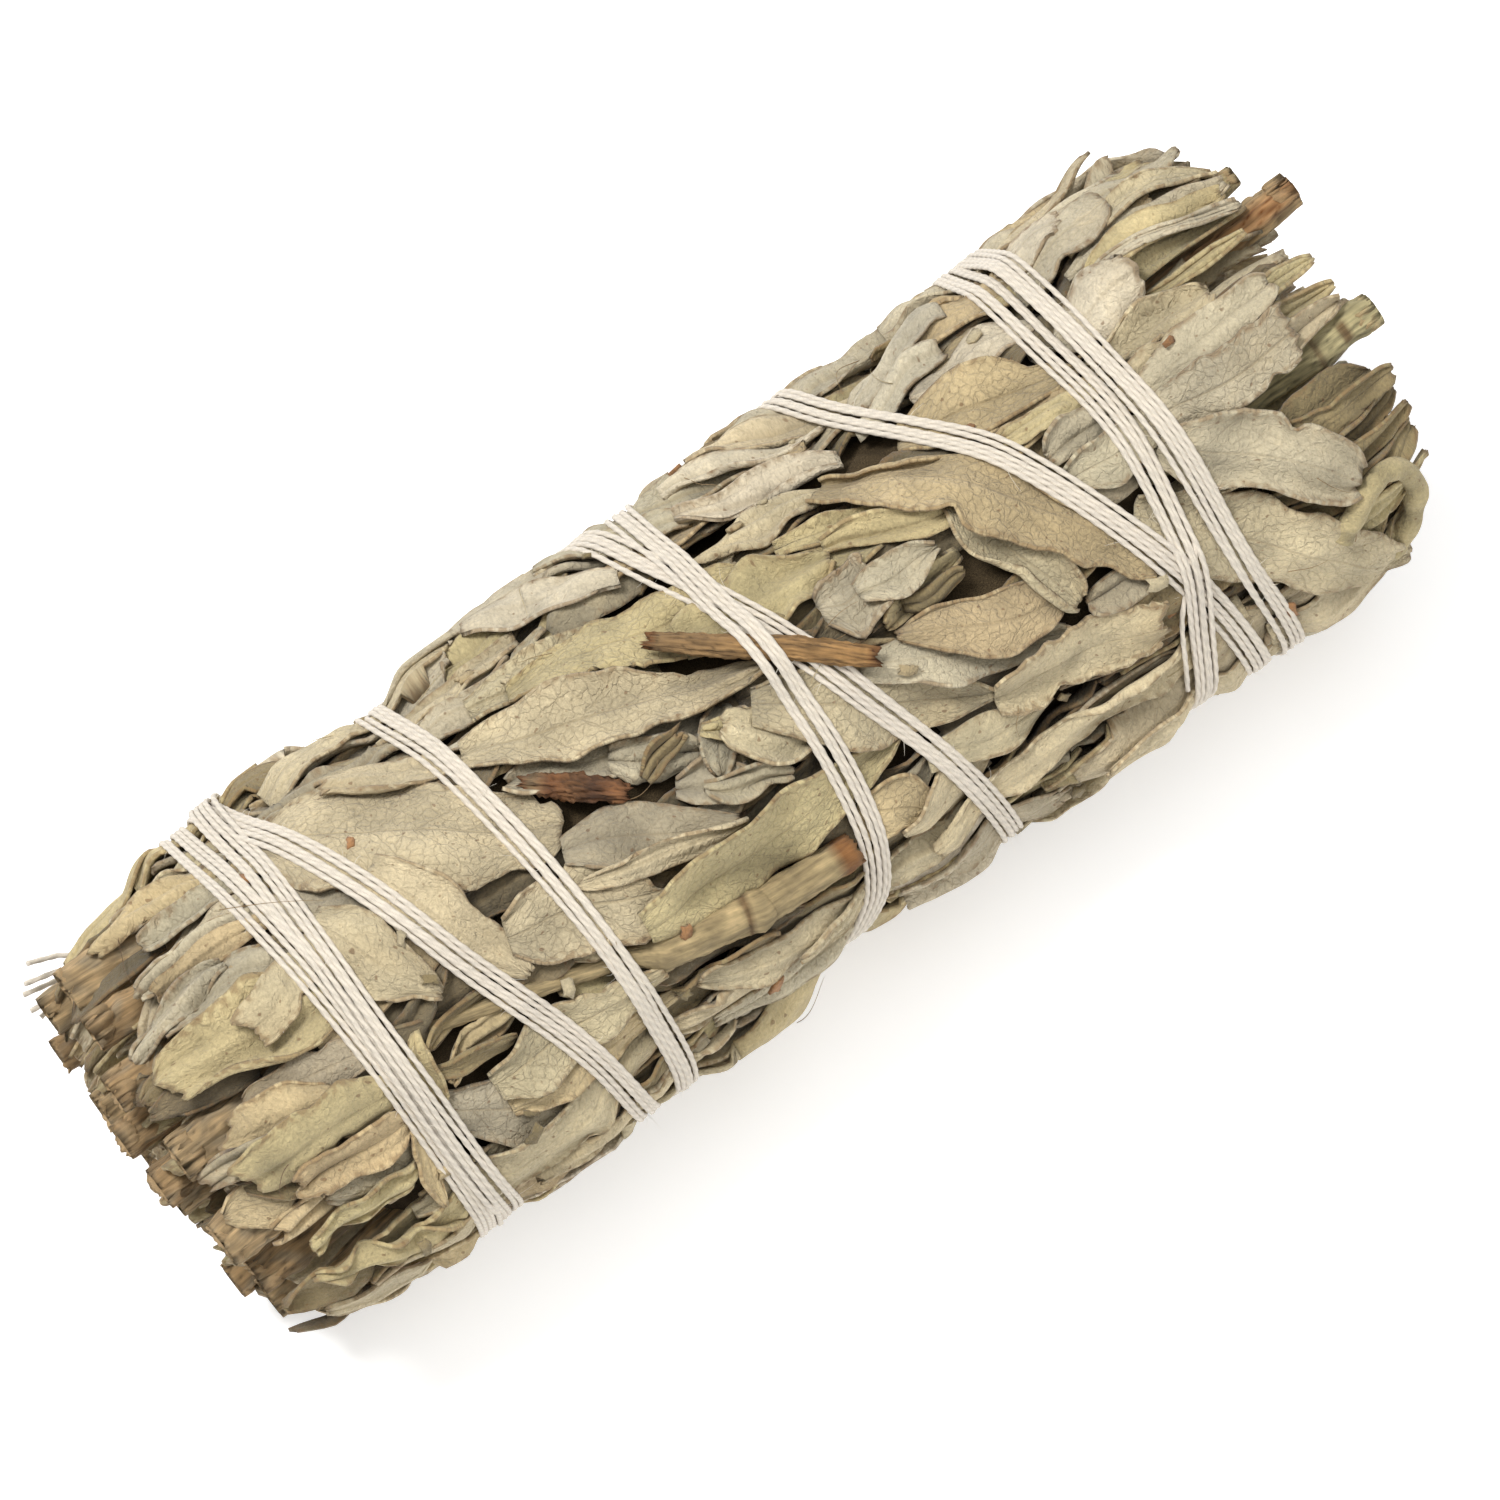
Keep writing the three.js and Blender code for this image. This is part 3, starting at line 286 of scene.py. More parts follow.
def make_stem_material(name, cut_colour, dark):
    """Dry stem: streaked bark, with a pale fibrous face where the stem is cut."""
    material, tree, shader = new_material(name, 0.8, 0.05)
    surface = surface_map(tree)
    tint = attribute(tree, "tint", "Color")
    cut = attribute(tree, "cut")
    grain = add_node(
        tree, "ShaderNodeGroup", {"node_tree": fibre_group},
        {"Vector": surface, "Colour": tint, "Dark": dark},
    )
    pits = noise(tree, None, 2600.0, 4.0)
    pith = mix_colour(
        tree, "MULTIPLY", 1.0, cut_colour, remap(tree, pits.outputs["Fac"], 0.3, 0.7, 0.45, 1.15)
    )
    colour = mix_colour(tree, "MIX", cut, grain.outputs["Colour"], pith)
    relief = math_node(tree, "ADD", grain.outputs["Height"], pits.outputs["Fac"])
    finish_surface(tree, shader, colour, relief, 0.7, 0.00025)
    return material


stem_material = make_stem_material("dry_stem", (0.74, 0.50, 0.25, 1.0), 0.7)


def stem_colours(tone, turn, length, around, lengthwise, ridges, grooves):
    """Tint at each point of a stem: dark grooves, and the weathering, streak or scars of its tone."""
    rings = len(lengthwise)
    tint = np.array(STEM_TONES[tone]) * stem_draw.uniform(0.85, 1.15)
    colours = tint * (1 - 0.6 * grooves)[:, None]
    round_points = np.tile(around, rings)
    long_points = np.repeat(lengthwise, STEM_SIDES)
    if tone in ("tan", "brown"):
        weather = ridges(round_points * 0.7, long_points * 0.3 + 60)
        grey = 0.55 * np.clip(weather, 0, 1)[:, None]
        colours = colours * (1 - grey) + grey * WEATHERED_GREY
    if tone == "orange":
        streak = (0.5 + 0.5 * np.cos(round_points - 2.2)) ** 6
        colours += streak[:, None] * ORANGE_STREAK
    if tone == "green":
        back_from_end = np.abs(long_points)
        facing_out = np.cos(round_points + STEM_SPIN * turn - math.pi / 2 - turn)
        ring_mark = np.exp(-(((back_from_end - GREEN_JOINT_SHARE * abs(length)) / 0.3) ** 2))
        scar_mark = np.exp(-(((back_from_end - GREEN_SCAR_PLACE) / 0.45) ** 4))
        scar_mark = scar_mark * np.clip((facing_out - 0.75) / 0.15, 0, 1)
        mark = np.clip(0.75 * ring_mark + 0.9 * scar_mark, 0, 1)[:, None]
        colours = colours * (1 - mark) + mark * SCAR_BROWN
    return colours


def build_stem(name, angle, reach, width, cut_end, hidden_end, tone):
    """One stem, as rings from its hollow cut face to its hidden end."""
    turn = FACE_LEAN + math.radians(angle)
    length = hidden_end - cut_end
    share = STEM_SHARES
    around = np.linspace(0, FULL_TURN, STEM_SIDES, endpoint=False)
    level = 0 * around
    spin = around + STEM_SPIN * turn
    ridges = smooth_waves(stem_draw, 5, 0.5, 1.4)
    cracks = smooth_waves(stem_draw, 7, 0.5, 1.2)
    bends = stem_draw.uniform(0, FULL_TURN, 2)
    square = np.abs(np.cos(around)) ** SQUARENESS + np.abs(np.sin(around)) ** SQUARENESS
    square = square ** (-1 / SQUARENESS)
    joint_share, swelling = JOINT_SHARE, JOINT_SWELLING
    if tone == "green":
        joint_share, swelling = GREEN_JOINT_SHARE, GREEN_JOINT_SWELLING
    joint = 0.96 + swelling * np.exp(-(((share - joint_share) / JOINT_LENGTH) ** 2)) - 0.10 * share
    depth = stem_depth(reach, share)
    rows, scars, grooves = [], [], []
    for k, (here, size) in enumerate(zip(share, joint)):
        along = cut_end + length * here
        bumps = 1 + 0.075 * ridges(around * 1.2, 0.06 * here * length + level)
        worn = 0.5 * width * size * square * bumps
        worn = worn * (1 + 0.05 * ridges(around * 0.7, 0.35 * here * length + 30 + level))
        groove = cracks(np.cos(around) * 0.9 * width, np.sin(around) * 0.9 * width + 0.12 * here * length)
        groove = np.clip(1 - np.abs(groove) / 0.45, 0, 1) ** 1.5
        worn = worn * (1 - 0.09 * groove)
        grooves.append(groove)
        sway = 0.18 * math.sin(bends[0] + 9 * here) * min(1, 6 * here)
        y = worn * np.cos(spin) - (depth[k] + sway) * math.sin(turn)
        z = worn * np.sin(spin) + (depth[k] + sway) * math.cos(turn)
        x = along - MIDDLE + level
        if k == 0:
            slope = (0.08 + 0.05 * bends[1]) * width * np.sign(length)
            ragged = math.copysign(0.35, length) * np.abs(ridges(around * 3, 7 + level))
            x = along - MIDDLE + (ragged + slope * (1 + np.cos(around - math.pi / 2 + 0.3 * turn)))
        rows.append(np.stack([x, y + SIDE_SHIFT, z + AXIS_HEIGHT], axis=-1))
        scars.append(np.full(STEM_SIDES, max(0.0, 1 - abs(here * length) / 0.25) * 0.8))
    centre = rows[0].mean(axis=0)
    rings = rows
    for inset, dip in CUT_HOLLOW:
        ring = centre + (rows[0] - centre) * inset
        ring[:, 0] = rows[0][:, 0] * inset + centre[0] * (1 - inset)
        ring[:, 0] += math.copysign(dip, length) * (1 + 0.5 * ridges(around * 2, inset + level))
        rings = [ring] + rings
    cap_points = len(CUT_HOLLOW) * STEM_SIDES
    faces = tube_faces(len(rings), STEM_SIDES)
    if length > 0:
        faces = [face[::-1] for face in faces]
    lengthwise = np.concatenate([np.zeros(len(CUT_HOLLOW)), share * length])
    flat_map = np.stack(
        [np.repeat(lengthwise, STEM_SIDES) * 0.1 + angle,
         np.tile(around / FULL_TURN, len(rings)) * width * 0.35], axis=-1
    )
    grooves = np.concatenate([np.zeros(cap_points), *grooves])
    colours = stem_colours(tone, turn, length, around, lengthwise, ridges, grooves)
    cut = np.concatenate([np.ones(cap_points), *scars])
    points = np.concatenate(rings)
    piece = new_piece("woody_" + name, points, faces, stem_material, colours, flat_map, {"cut": cut})
    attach(piece, "root")
    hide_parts(name)


for stem in STEMS:
    build_stem(*stem)

# Leaves: each sprig is a bundle of dried sage leaves pressed round the stems, felted, finely veined and
# curled at the edges. Every leaf lies on what was laid before it, and the thread cinches them all.
FACE_RADIUS = 19.5
LEAF_BASE = 14.2
ARC_RADIUS = 18.0
EYE_LEAN = math.radians(8.4)
EYE_DISTANCE = 420.0
EYE_DEPTH = 14.0
SEEN_SHIFT = 1.0
SEEN_TAPER = 0.0256
FACE_EDGE = 0.985
SPRIG_COUNT = 6
LEAF_SHEET = 0.3
LEAF_ROW = 0.45
POINTED_TIP = 0.3
BROWNED_LEAF = np.array([0.40, 0.29, 0.14])
LEAF_COLUMNS = np.array(
    [-1, -0.93, -0.84, -0.72, -0.57, -0.4, -0.22, -0.07, 0, 0.07, 0.22, 0.4, 0.57, 0.72, 0.84, 0.93, 1]
)
# Leaf tones by letter. "m" is dimmed as painted shade for leaves that lie in shadow, "d" is near black as
# painted shade deep in the crevices, and "o" is a dark brown that is partly a browned leaf and partly
# painted shade in the gaps.
LEAF_TONES = {
    "p": (0.61, 0.51, 0.32),
    "g": (0.555, 0.48, 0.33),
    "w": (0.64, 0.56, 0.405),
    "t": (0.58, 0.45, 0.25),
    "y": (0.555, 0.455, 0.24),
    "m": (0.46, 0.39, 0.26),
    "o": (0.28, 0.215, 0.105),
    "d": (0.19, 0.15, 0.085),
    "r": (0.40, 0.20, 0.08),
}

# Leaves of the seen face, lowest first: root along and across, tip along and across, width, sideways bow,
# width left at the tip, and a look. In the look, the first letter is the tone, + and - roll an edge up,
# u cups the leaf, n arches it, k folds it, ~ waves it, ^ lifts its tip, j tears it, s presses it smooth
# and v shows its veins.
FACE_LEAVES = [
    (24.5, 7.6, 16.5, 9.4, 2.4, 0.4, 0.6, "t~+"),
    (16, 8.2, 22.5, 10, 2.2, 0, 0.6, "o-"),
    (22.5, 5.4, 16.4, 6.2, 1.8, 0, 0.5, "ou"),
    (14, -17.6, 3.5, -18.2, 3.4, 0, 0.6, "p~"),
    (12, -16.2, 1, -16, 3.2, 0, 0.6, "t~j"),
    (9, -14.4, -0.6, -6.6, 2.6, 0.6, 0.7, "p~j"),
    (14, -13.4, 4, -14.5, 3, 0.5, 0.6, "gu"),
    (13.5, -11.8, 1.5, -11, 1.9, 0.7, 0.7, "gu"),
    (13, -10.6, 1.7, -10.2, 1.8, 0.6, 0.7, "gu"),
    (13.5, -9.4, 2.5, -9.3, 1.9, 0.6, 0.7, "tn"),
    (13, -5.5, 2.7, -7.5, 3.8, 0.3, 0.7, "gj"),
    (13, 3.6, 3, 1.5, 4, 0, 0.45, "m"),
    (9, 5, 0.3, 3.2, 4.4, 0, 0.8, "tj"),
    (8, -8.2, -1.6, -6.8, 2.4, 0.5, 0.6, "g~"),
    (7, 5.6, -2.6, 5.4, 2.6, 0.4, 0.7, "m~j"),
    (8, 12.2, -0.8, 11.8, 2.8, 0.4, 0.7, "t~j"),
    (14, -1.3, -0.5, -3, 7.2, 0.3, 0.6, "y~-j"),
    (13.4, -5, 6.5, -2.5, 3.8, 0, 0.8, "pj"),
    (13.5, 7.2, 0, 6, 4.8, 0, 0.9, "yj~"),
    (12.5, 14.3, 4, 11.2, 4.4, 0, 0.25, "gv"),
    (13.4, 10.3, 2.5, 9.3, 3.5, 0, 0.7, "tj"),
    (11, 13.6, 1, 14, 2.8, 0.5, 0.6, "y~"),
    (12.6, 10.5, 10.7, 16.5, 2.3, 0, 0.3, "t-"),
    (13.5, 19.3, 0, 16.3, 2.7, 0.9, 0.5, "y~u"),
    (15, 18.6, 3.5, 19, 3.2, 0, 0.5, "p"),
    (13, -9.5, 26.5, -4.5, 6, 0, 0.35, "g"),
    (14.5, 11, 25.5, 18, 5.4, 0, 0.4, "gv"),
    (12, 17.2, 31, 16.6, 5.4, 0.3, 0.4, "p"),
    (20, -9.2, 29, -3.5, 3.4, 0, 0.3, "p"),
    (15, -15.2, 34.7, -2.5, 11, 0.6, 0.5, "pv"),
    (31.5, -12.6, 21.5, -15, 4.4, 0, 0.7, "p-j"),
    (14.6, -5.4, 17.5, -0.6, 3.2, 0, 0.4, "g"),
    (14.8, -7, 19.5, 3.2, 6.2, 0, 0.15, "p"),
    (20.5, -7.6, 26, 6.2, 5.8, 0, 0.2, "p^"),
    (16.4, 4.4, 15, 10.6, 2.0, 0.4, 0.7, "y+"),
    (29.5, 6.8, 37.6, 7.4, 3.6, 0, 0.7, "pj"),
    (26.4, 2.4, 37.4, 6, 7.2, 0, 0.85, "pjv"),
    (19, 14.4, 34, 15, 3, 0, 0.4, "t"),
    (19, 12.3, 34.2, 12, 5.4, 0, 0.15, "pv^"),
    (27, -17.4, 40, -17.8, 2.8, 0, 0.5, "p"),
    (29, -16.2, 41, -15.9, 2.4, 0, 0.5, "g"),
    (49, -16.6, 37, -18.8, 4, 0, 0.5, "w"),
    (56, -17.6, 44, -19.2, 3.2, 0, 0.5, "g"),
    (48.5, -3, 33, -8.5, 4.6, 0, 0.6, "g"),
    (40.5, -5, 46.5, -0.8, 3.8, 0, 0.5, "gu~"),
    (43.5, 0.4, 48.5, 3.8, 3.6, 0, 0.5, "g~j"),
    (50, -3.4, 46.4, 1.8, 3.2, 0, 0.4, "gk~"),
    (45, 1.6, 51, 4.8, 2.4, 0.3, 0.6, "mu~"),
    (47.6, -2.6, 52.4, 2.4, 2.2, 0, 0.5, "y~+"),
    (41.8, -1.8, 46.2, -3.4, 2.0, 0, 0.6, "o~j"),
    (55.5, 4, 48.4, -1.2, 4.8, 0, 0.6, "p"),
    (33.5, -0.5, 45.5, 5.3, 5.4, 0, 0.15, "m"),
    (46, 5.8, 33, 2.4, 2.4, 0, 0.5, "p+"),
    (31, -14.3, 46.5, -10.5, 3.6, 0, 0.2, "wn"),
    (34, -15.8, 57, -12.8, 4.8, 0.3, 0.5, "pv"),
    (37, -14, 57, -10.5, 6.4, 0, 0.5, "yv"),
    (31.5, -12.5, 54.5, -3.6, 6.2, 0.4, 0.12, "pv"),
    (35, 8.3, 59, 8.3, 7, 0.3, 0.12, "yv"),
    (52, 17.6, 36, 14.4, 3.6, 0, 0.5, "p"),
    (60, 16.6, 43, 16.6, 2.8, 0, 0.5, "p"),
    (50, 18.6, 35, 18, 3.6, 0, 0.5, "g"),
    (53.5, 10.8, 58, 14.4, 5.2, 0, 0.5, "tv"),
    (55, 15, 67, 12.8, 4.8, 0, 0.4, "p"),
    (52, 18.2, 66, 18.4, 3.2, 0, 0.5, "g"),
    (50, -9.5, 63, -8, 5.8, 0, 0.5, "y~"),
    (51.5, -1.6, 67.3, 10.3, 7, 0, 0.15, "pv"),
    (68, -16, 55, -17.5, 3, 0, 0.6, "wu-"),
    (55, -19.2, 68, -18.4, 3.2, 0, 0.5, "w+"),
    (73, -19.2, 58, -20, 2.8, 0, 0.5, "p"),
    (66, -14.2, 54, -14.6, 4.4, 0, 0.5, "p~"),
    (60, -12, 72.5, -8.2, 2.2, 0.5, 0.5, "yu"),
    (63, -9.4, 75, -5.4, 2.8, 0.6, 0.5, "y-"),
    (60, 1, 74.7, 9.5, 4.6, 0, 0.3, "g"),
    (60, 11.5, 70.5, 14, 4.2, 0, 0.4, "p"),
    (67, 10, 80.5, 12.5, 6, 0, 0.7, "pj"),
    (86, 16, 56, 16.4, 4, 0.3, 0.5, "p+"),
    (86, 18, 70, 18, 3.2, 0, 0.5, "p"),
    (71.5, -2.4, 63.5, -0.6, 2.2, 0, 0.6, "yu"),
    (65.5, -1.2, 71, -0.6, 2.0, 0.4, 0.5, "o~"),
    (60, -4.6, 65, -4, 5.8, 0, 0.85, "gjv"),
    (63, -3.9, 70.2, -3.5, 3.8, 0, 0.15, "g"),
    (75.6, 6.4, 63.7, 0.7, 5.4, -0.4, 0.15, "tv"),
    (73.2, -6, 76.4, 7.5, 6, 0, 0.5, "pv+"),
    (86, -15.4, 75, -16.2, 4.2, 0, 0.5, "w"),
    (80.5, -18.6, 70.5, -18.6, 2.8, 0, 0.5, "wn"),
    (70, -17.4, 79, -17.2, 2.6, 0, 0.8, "wn"),
    (72.5, -14.5, 87, -10, 6.4, 0.3, 0.15, "tv"),
    (88, -7.6, 79, -8, 2.6, -0.6, 0.6, "y-"),
    (88.4, -5, 81, -4.6, 3.2, 0, 0.7, "g"),
    (81.5, -1.8, 88.6, -1.4, 4.2, 0, 0.8, "gj"),
    (85, 9, 77, 8.2, 3.4, 0, 0.5, "m"),
    (65, -14, 83, 8.6, 7, -2, 0.5, "tv-"),
    (92, -12.4, 104.6, -13.6, 2.2, 0, 0.5, "yu"),
    (92, 5.2, 106.5, 6.4, 2.8, 0, 0.6, "ou^"),
    (92.5, 7.8, 106, 8.4, 2.6, 0, 0.6, "ou"),
    (93, 9.8, 106, 10, 2.6, 0, 0.6, "ou"),
    (92, 15.4, 102.5, 12, 3.4, 1.5, 0.6, "yu"),
    (91, -5.4, 107, -5.6, 2.6, 0, 0.5, "yu"),
    (92, -3.4, 107, -2.8, 2.2, 0, 0.4, "yu^"),
    (91.5, -0.8, 106.6, -1.2, 2.6, 0, 0.5, "pu"),
    (90, -15.6, 104.3, -14.8, 2.3, 0.3, 0.4, "g^"),
    (90, -13.8, 103.5, -13.8, 2.7, 0, 0.5, "yu"),
    (91, -17.6, 102.3, -18.2, 2.9, 0, 0.6, "gn^"),
    (88, -19.4, 97.5, -19.8, 3.4, 0.3, 0.6, "gj~"),
    (91, -16.4, 104, -16.6, 2.6, 0, 0.5, "pu"),
    (92, 11.6, 105.2, 11.8, 2.4, 0, 0.6, "ou"),
    (91, 13.4, 104.4, 13.6, 2.8, 0.3, 0.6, "y+^"),
    (92, 16.4, 102.8, 16.2, 3.0, 0.4, 0.6, "y~"),
    (90, -11.2, 103.4, -10.6, 1.7, 0.3, 0.5, "y+-"),
    (90, -13.4, 104.2, -12.6, 1.6, -0.3, 0.5, "g+-"),
    (84, -20.5, 96, -21, 3, 0, 0.5, "pj^"),
    (86, -17.6, 95.5, -17, 5.4, 0, 0.7, "g"),
    (85.5, -19.2, 91.5, -18, 4, 0, 0.8, "wj"),
    (87, -13, 92.5, -12.4, 4.6, 0, 0.85, "w"),
    (88.4, -12.4, 94.2, -12, 5.2, 0, 0.85, "wj-"),
    (88, -8.7, 98.3, -7.8, 4.2, 0, 0.8, "p-+"),
    (88, -5, 95.5, -5, 4.2, 0, 0.8, "pj"),
    (88.4, -4.4, 102.5, -5.6, 3.4, 0.4, 0.7, "g"),
    (88.5, -1.8, 101.5, -1.2, 5.0, 0, 0.92, "gjv"),
    (86, 17.6, 98, 17.6, 3.8, 0, 0.4, "p"),
    (84, 4.2, 98.5, 17.4, 7.4, 0.5, 0.2, "pv"),
    (88.4, 0.2, 98.8, 10.4, 6.4, -0.5, 0.7, "g~"),
]

# Deep gaps of the seen face, where no filling leaf lies: along, across, length and breadth.
GAPS = [
    (18.8, 7.8, 5.0, 3.4),
    (43.5, -1.2, 7.0, 3.6),
    (69.0, -15.0, 4.2, 2.4),
    (72.4, 0.4, 4.4, 5.0),
    (77.6, 7.4, 5.0, 2.6),
    (57.5, 9.4, 4.0, 2.0),
    (92.8, 9.2, 4.0, 5.0),
    (66.0, 6.0, 3.0, 2.0),
    (86.0, -11.0, 2.4, 1.6),
    (98.0, -12.2, 9.0, 3.6),
    (102.5, -8.8, 9.0, 2.6),
    (102.0, 2.6, 10.0, 2.6),
]


def on_face(seen_along, seen_across):
    """Place along the bunch and angle round it of a spot of the seen face."""
    across = seen_across - SEEN_SHIFT + SEEN_TAPER * seen_along
    offset = math.asin(min(FACE_EDGE, max(-FACE_EDGE, across / FACE_RADIUS)))
    lean = EYE_LEAN + (seen_along - MIDDLE) / EYE_DISTANCE
    along = seen_along - (FACE_RADIUS * math.cos(offset) - EYE_DEPTH) * math.tan(lean)
    return along, FACE_LEAN + offset


# The bed is the height over the core of all that has been laid so far, in cells of the unrolled bunch.
BED_CELL = 0.4
BED_START = -14.0
BED_ROWS = 325
BED_COLUMNS = round(FULL_TURN * ARC_RADIUS / BED_CELL)
ARC_CELL = FULL_TURN * ARC_RADIUS / BED_COLUMNS

# How full the bunch is at places along it, and how far its butt half hangs to the lower side of the face.
FULLNESS = [(2, 2.6), (14, 2.4), (30, 0.8), (78, 0.8), (88, 1.2), (96, 2.6), (104, 3.8)]
SAG = [(0, 0.9), (22, 0.9), (45, 0.0)]
bed_along = BED_START + BED_CELL * np.arange(BED_ROWS)
fullness = np.interp(bed_along, *zip(*FULLNESS))
bed_turn = ARC_CELL * np.arange(BED_COLUMNS) / ARC_RADIUS
sag = np.interp(bed_along, *zip(*SAG))
hang = np.sin(bed_turn - FACE_LEAN)
base_bed = fullness[:, None] + sag[:, None] * (hang - 0.9 * np.maximum(0, -hang) ** 2)[None]
bed = base_bed.copy()


def read_bed(layer, along, arc):
    """Value of a layer at any place, blended between its cells."""
    row = np.clip((along - BED_START) / BED_CELL, 0, BED_ROWS - 1.001)
    column = np.mod(arc / ARC_CELL, BED_COLUMNS)
    r, c = row.astype(int), column.astype(int) % BED_COLUMNS
    dr, dc = row - r, column - np.floor(column)
    next_c = (c + 1) % BED_COLUMNS
    near = layer[r, c] * (1 - dc) + layer[r, next_c] * dc
    far = layer[r + 1, c] * (1 - dc) + layer[r + 1, next_c] * dc
    return near * (1 - dr) + far * dr


def bed_cells(along, arc):
    row = np.clip(np.rint((along - BED_START) / BED_CELL).astype(int), 0, BED_ROWS - 1)
    return row, np.rint(arc / ARC_CELL).astype(int) % BED_COLUMNS


def raise_bed(along, arc, height):
    np.maximum.at(bed, bed_cells(along, arc), height)


def between_points(grid):
    """Grid with every point and the middles of its cells, so that no bed cell is missed."""
    corners = [grid[:-1, :-1], grid[1:, :-1], grid[:-1, 1:], grid[1:, 1:]]
    shares = [(1, 0, 0, 0), (0.5, 0.5, 0, 0), (0.5, 0, 0.5, 0), (0.25, 0.25, 0.25, 0.25), (0, 0, 0, 1)]
    return np.stack([sum(s * corner for s, corner in zip(share, corners)) for share in shares])


def soften(grid, along_passes, across_passes):
    """Grid with each point blended with its neighbours, a number of times each way."""
    for axis, passes in ((0, along_passes), (1, across_passes)):
        for _ in range(passes):
            padded = np.pad(grid, [(1, 1) if k == axis else (0, 0) for k in (0, 1)], mode="edge")
            before = padded[:-2] if axis == 0 else padded[:, :-2]
            after = padded[2:] if axis == 0 else padded[:, 2:]
            grid = 0.25 * before + 0.5 * grid + 0.25 * after
    return grid


def cover(grid):
    """Highest of each point and its neighbours, as a stiff leaf rides on bumps."""
    padded = np.pad(grid, 1, mode="edge")
    rows, columns = grid.shape
    return np.max(
        [padded[i:i + rows, j:j + columns] for i in range(3) for j in range(3)], axis=0
    )


leaf_draw = np.random.default_rng(41)
leaf_sheets = []


def leaf_breadth(t, tip_share):
    """Share of its full width that a leaf has along its length, from root to tip."""
    root = 0.45 + 0.55 * np.sin((math.pi / 2) * np.clip(t / 0.4, 0, 1))
    tip = tip_share + (1 - tip_share) * np.cos((math.pi / 2) * np.clip((t - 0.4) / 0.6, 0, 1))
    return np.where(t < 0.4, root, tip)


def leaf_half(t, w, length, width, tip_share, torn, ripple, rim):
    """Half the breadth of a leaf, with an uneven rim, a notch and a rounded tip."""
    half = np.maximum(0.4, width / 2 * leaf_breadth(t, tip_share))
    half = half * (1 + (0.05 if torn else 0.025) * rim(t * length, np.sign(w) * 9))
    half = half * (1 + 0.10 * ripple(0.8 * t * length, np.sign(w) * 14))
    notch_at, notch_side = leaf_draw.uniform(0.35, 1.6), leaf_draw.choice([-1, 1])
    notch = np.exp(-(((t - notch_at) * length / 0.7) ** 2)) * np.clip(notch_side * w, 0, 1) ** 2
    tip_round = 0.1 if torn else 0.3 if tip_share < POINTED_TIP else 0.7
    rounding = np.clip((t - 0.9) / 0.1, 0, 1)
    return half * (1 - 0.3 * notch) * np.sqrt(1 - tip_round * rounding**2)


def leaf_jag(t, w, torn, rim):
    """How much further the tip of a leaf reaches at each place across it."""
    coarse, fine = (0.6, 0.22) if torn else (0.15, 0.05)
    jag = coarse * rim(1.5 * w, 30 + 0 * w) + fine * rim(7 * w, 50 + 0 * w)
    return jag * np.clip((t - 0.75) / 0.25, 0, 1)


def roll_edges(t, w, half, length, look):
    """Sideways place and height of a leaf whose two edges roll up, a little or as the look says."""
    aside = w * half
    lift = np.zeros_like(t)
    for side, mark in ((1, "+"), (-1, "-")):
        turnover = leaf_draw.uniform(2.4, 4.0) if mark in look else leaf_draw.uniform(0.3, 1.7)
        flat_share = leaf_draw.uniform(0.3, 0.5) if mark in look else 0.68
        rolled = np.clip((side * w - flat_share) / (1 - flat_share), 0, 1)
        strength = turnover * (0.75 + 0.4 * np.sin(0.38 * t * length + leaf_draw.uniform(0, 6)))
        strength = np.maximum(0.15, strength)
        radius = (1 - flat_share) * half / strength
        on_roll = side * w > flat_share
        aside = np.where(on_roll, side * (flat_share * half + radius * np.sin(strength * rolled)), aside)
        lift = lift + np.where(on_roll, radius * (1 - np.cos(strength * rolled)), 0)
    return aside, lift


def crumple_leaf(lift, t, w, half, length, width, look, crumple, ripple):
    """Adds a leaf's cup, arch, pleats, waves, creases, midrib and lifted tip to its rolled edges."""
    waved = "~" in look
    calm = 0.35 if "s" in look else 1.0
    cup = (0.22 if "u" in look else calm * leaf_draw.uniform(0.0, 0.1)) * width
    arch = (0.2 if "n" in look else leaf_draw.uniform(0, 0.05)) * width
    pleat = 0.36 if waved else leaf_draw.uniform(0.04, 0.2)
    folds, shift = leaf_draw.uniform(1.2, 2.6), leaf_draw.uniform(0, FULL_TURN)
    tilt = calm * leaf_draw.uniform(-0.22, 0.22)
    lift = lift + cup * w**2 + arch * (1 - w**2) + (tilt * w + abs(tilt)) * half
    lift = lift + pleat * np.sin(math.pi * folds * w + shift + 0.9 * np.sin(2.4 * t + shift))
    lift = lift + (0.6 if waved else 0.22) * np.abs(w) ** 1.5 * ripple(t * length, 2.5 * w)
    lift = lift + leaf_draw.uniform(0.05, 0.12) * crumple(t * length, w * half)
    creases = 1 - np.abs(crumple(0.55 * t * length + 70, 0.8 * w * half))
    lift = lift + calm * leaf_draw.uniform(0.05, 0.2) * creases
    rib_depth, rib_breadth = (0.5, 0.35) if "k" in look else (0.08, 0.09)
    lift = lift - rib_depth * np.exp(-((w / rib_breadth) ** 2))
    raised_tip = 1.8 if "^" in look else calm * leaf_draw.uniform(-0.1, 0.9)
    lift = lift + raised_tip * np.clip((t - 0.62) / 0.38, 0, 1) ** 2
    return lift - 0.5 * np.clip((0.12 - t) / 0.12, 0, 1)


def tint_leaf(t, w, half, length, tone, crumple):
    """Mottled tone of a leaf, browned towards its tip."""
    mottled = 1 + 0.08 * crumple(0.5 * t * length + 40, 0.5 * w * half)
    colour = np.array(LEAF_TONES[tone]) * mottled[..., None] * leaf_draw.uniform(0.9, 1.08)
    colour = colour * (1 + leaf_draw.uniform(-0.012, 0.012, 3))
    aged = np.clip(t - 0.55 + 0.25 * crumple(0.4 * t * length, w * half + 9), 0, 1)
    browned = (leaf_draw.uniform(0, 0.55) * aged)[..., None]
    return colour * (1 - browned) + browned * BROWNED_LEAF


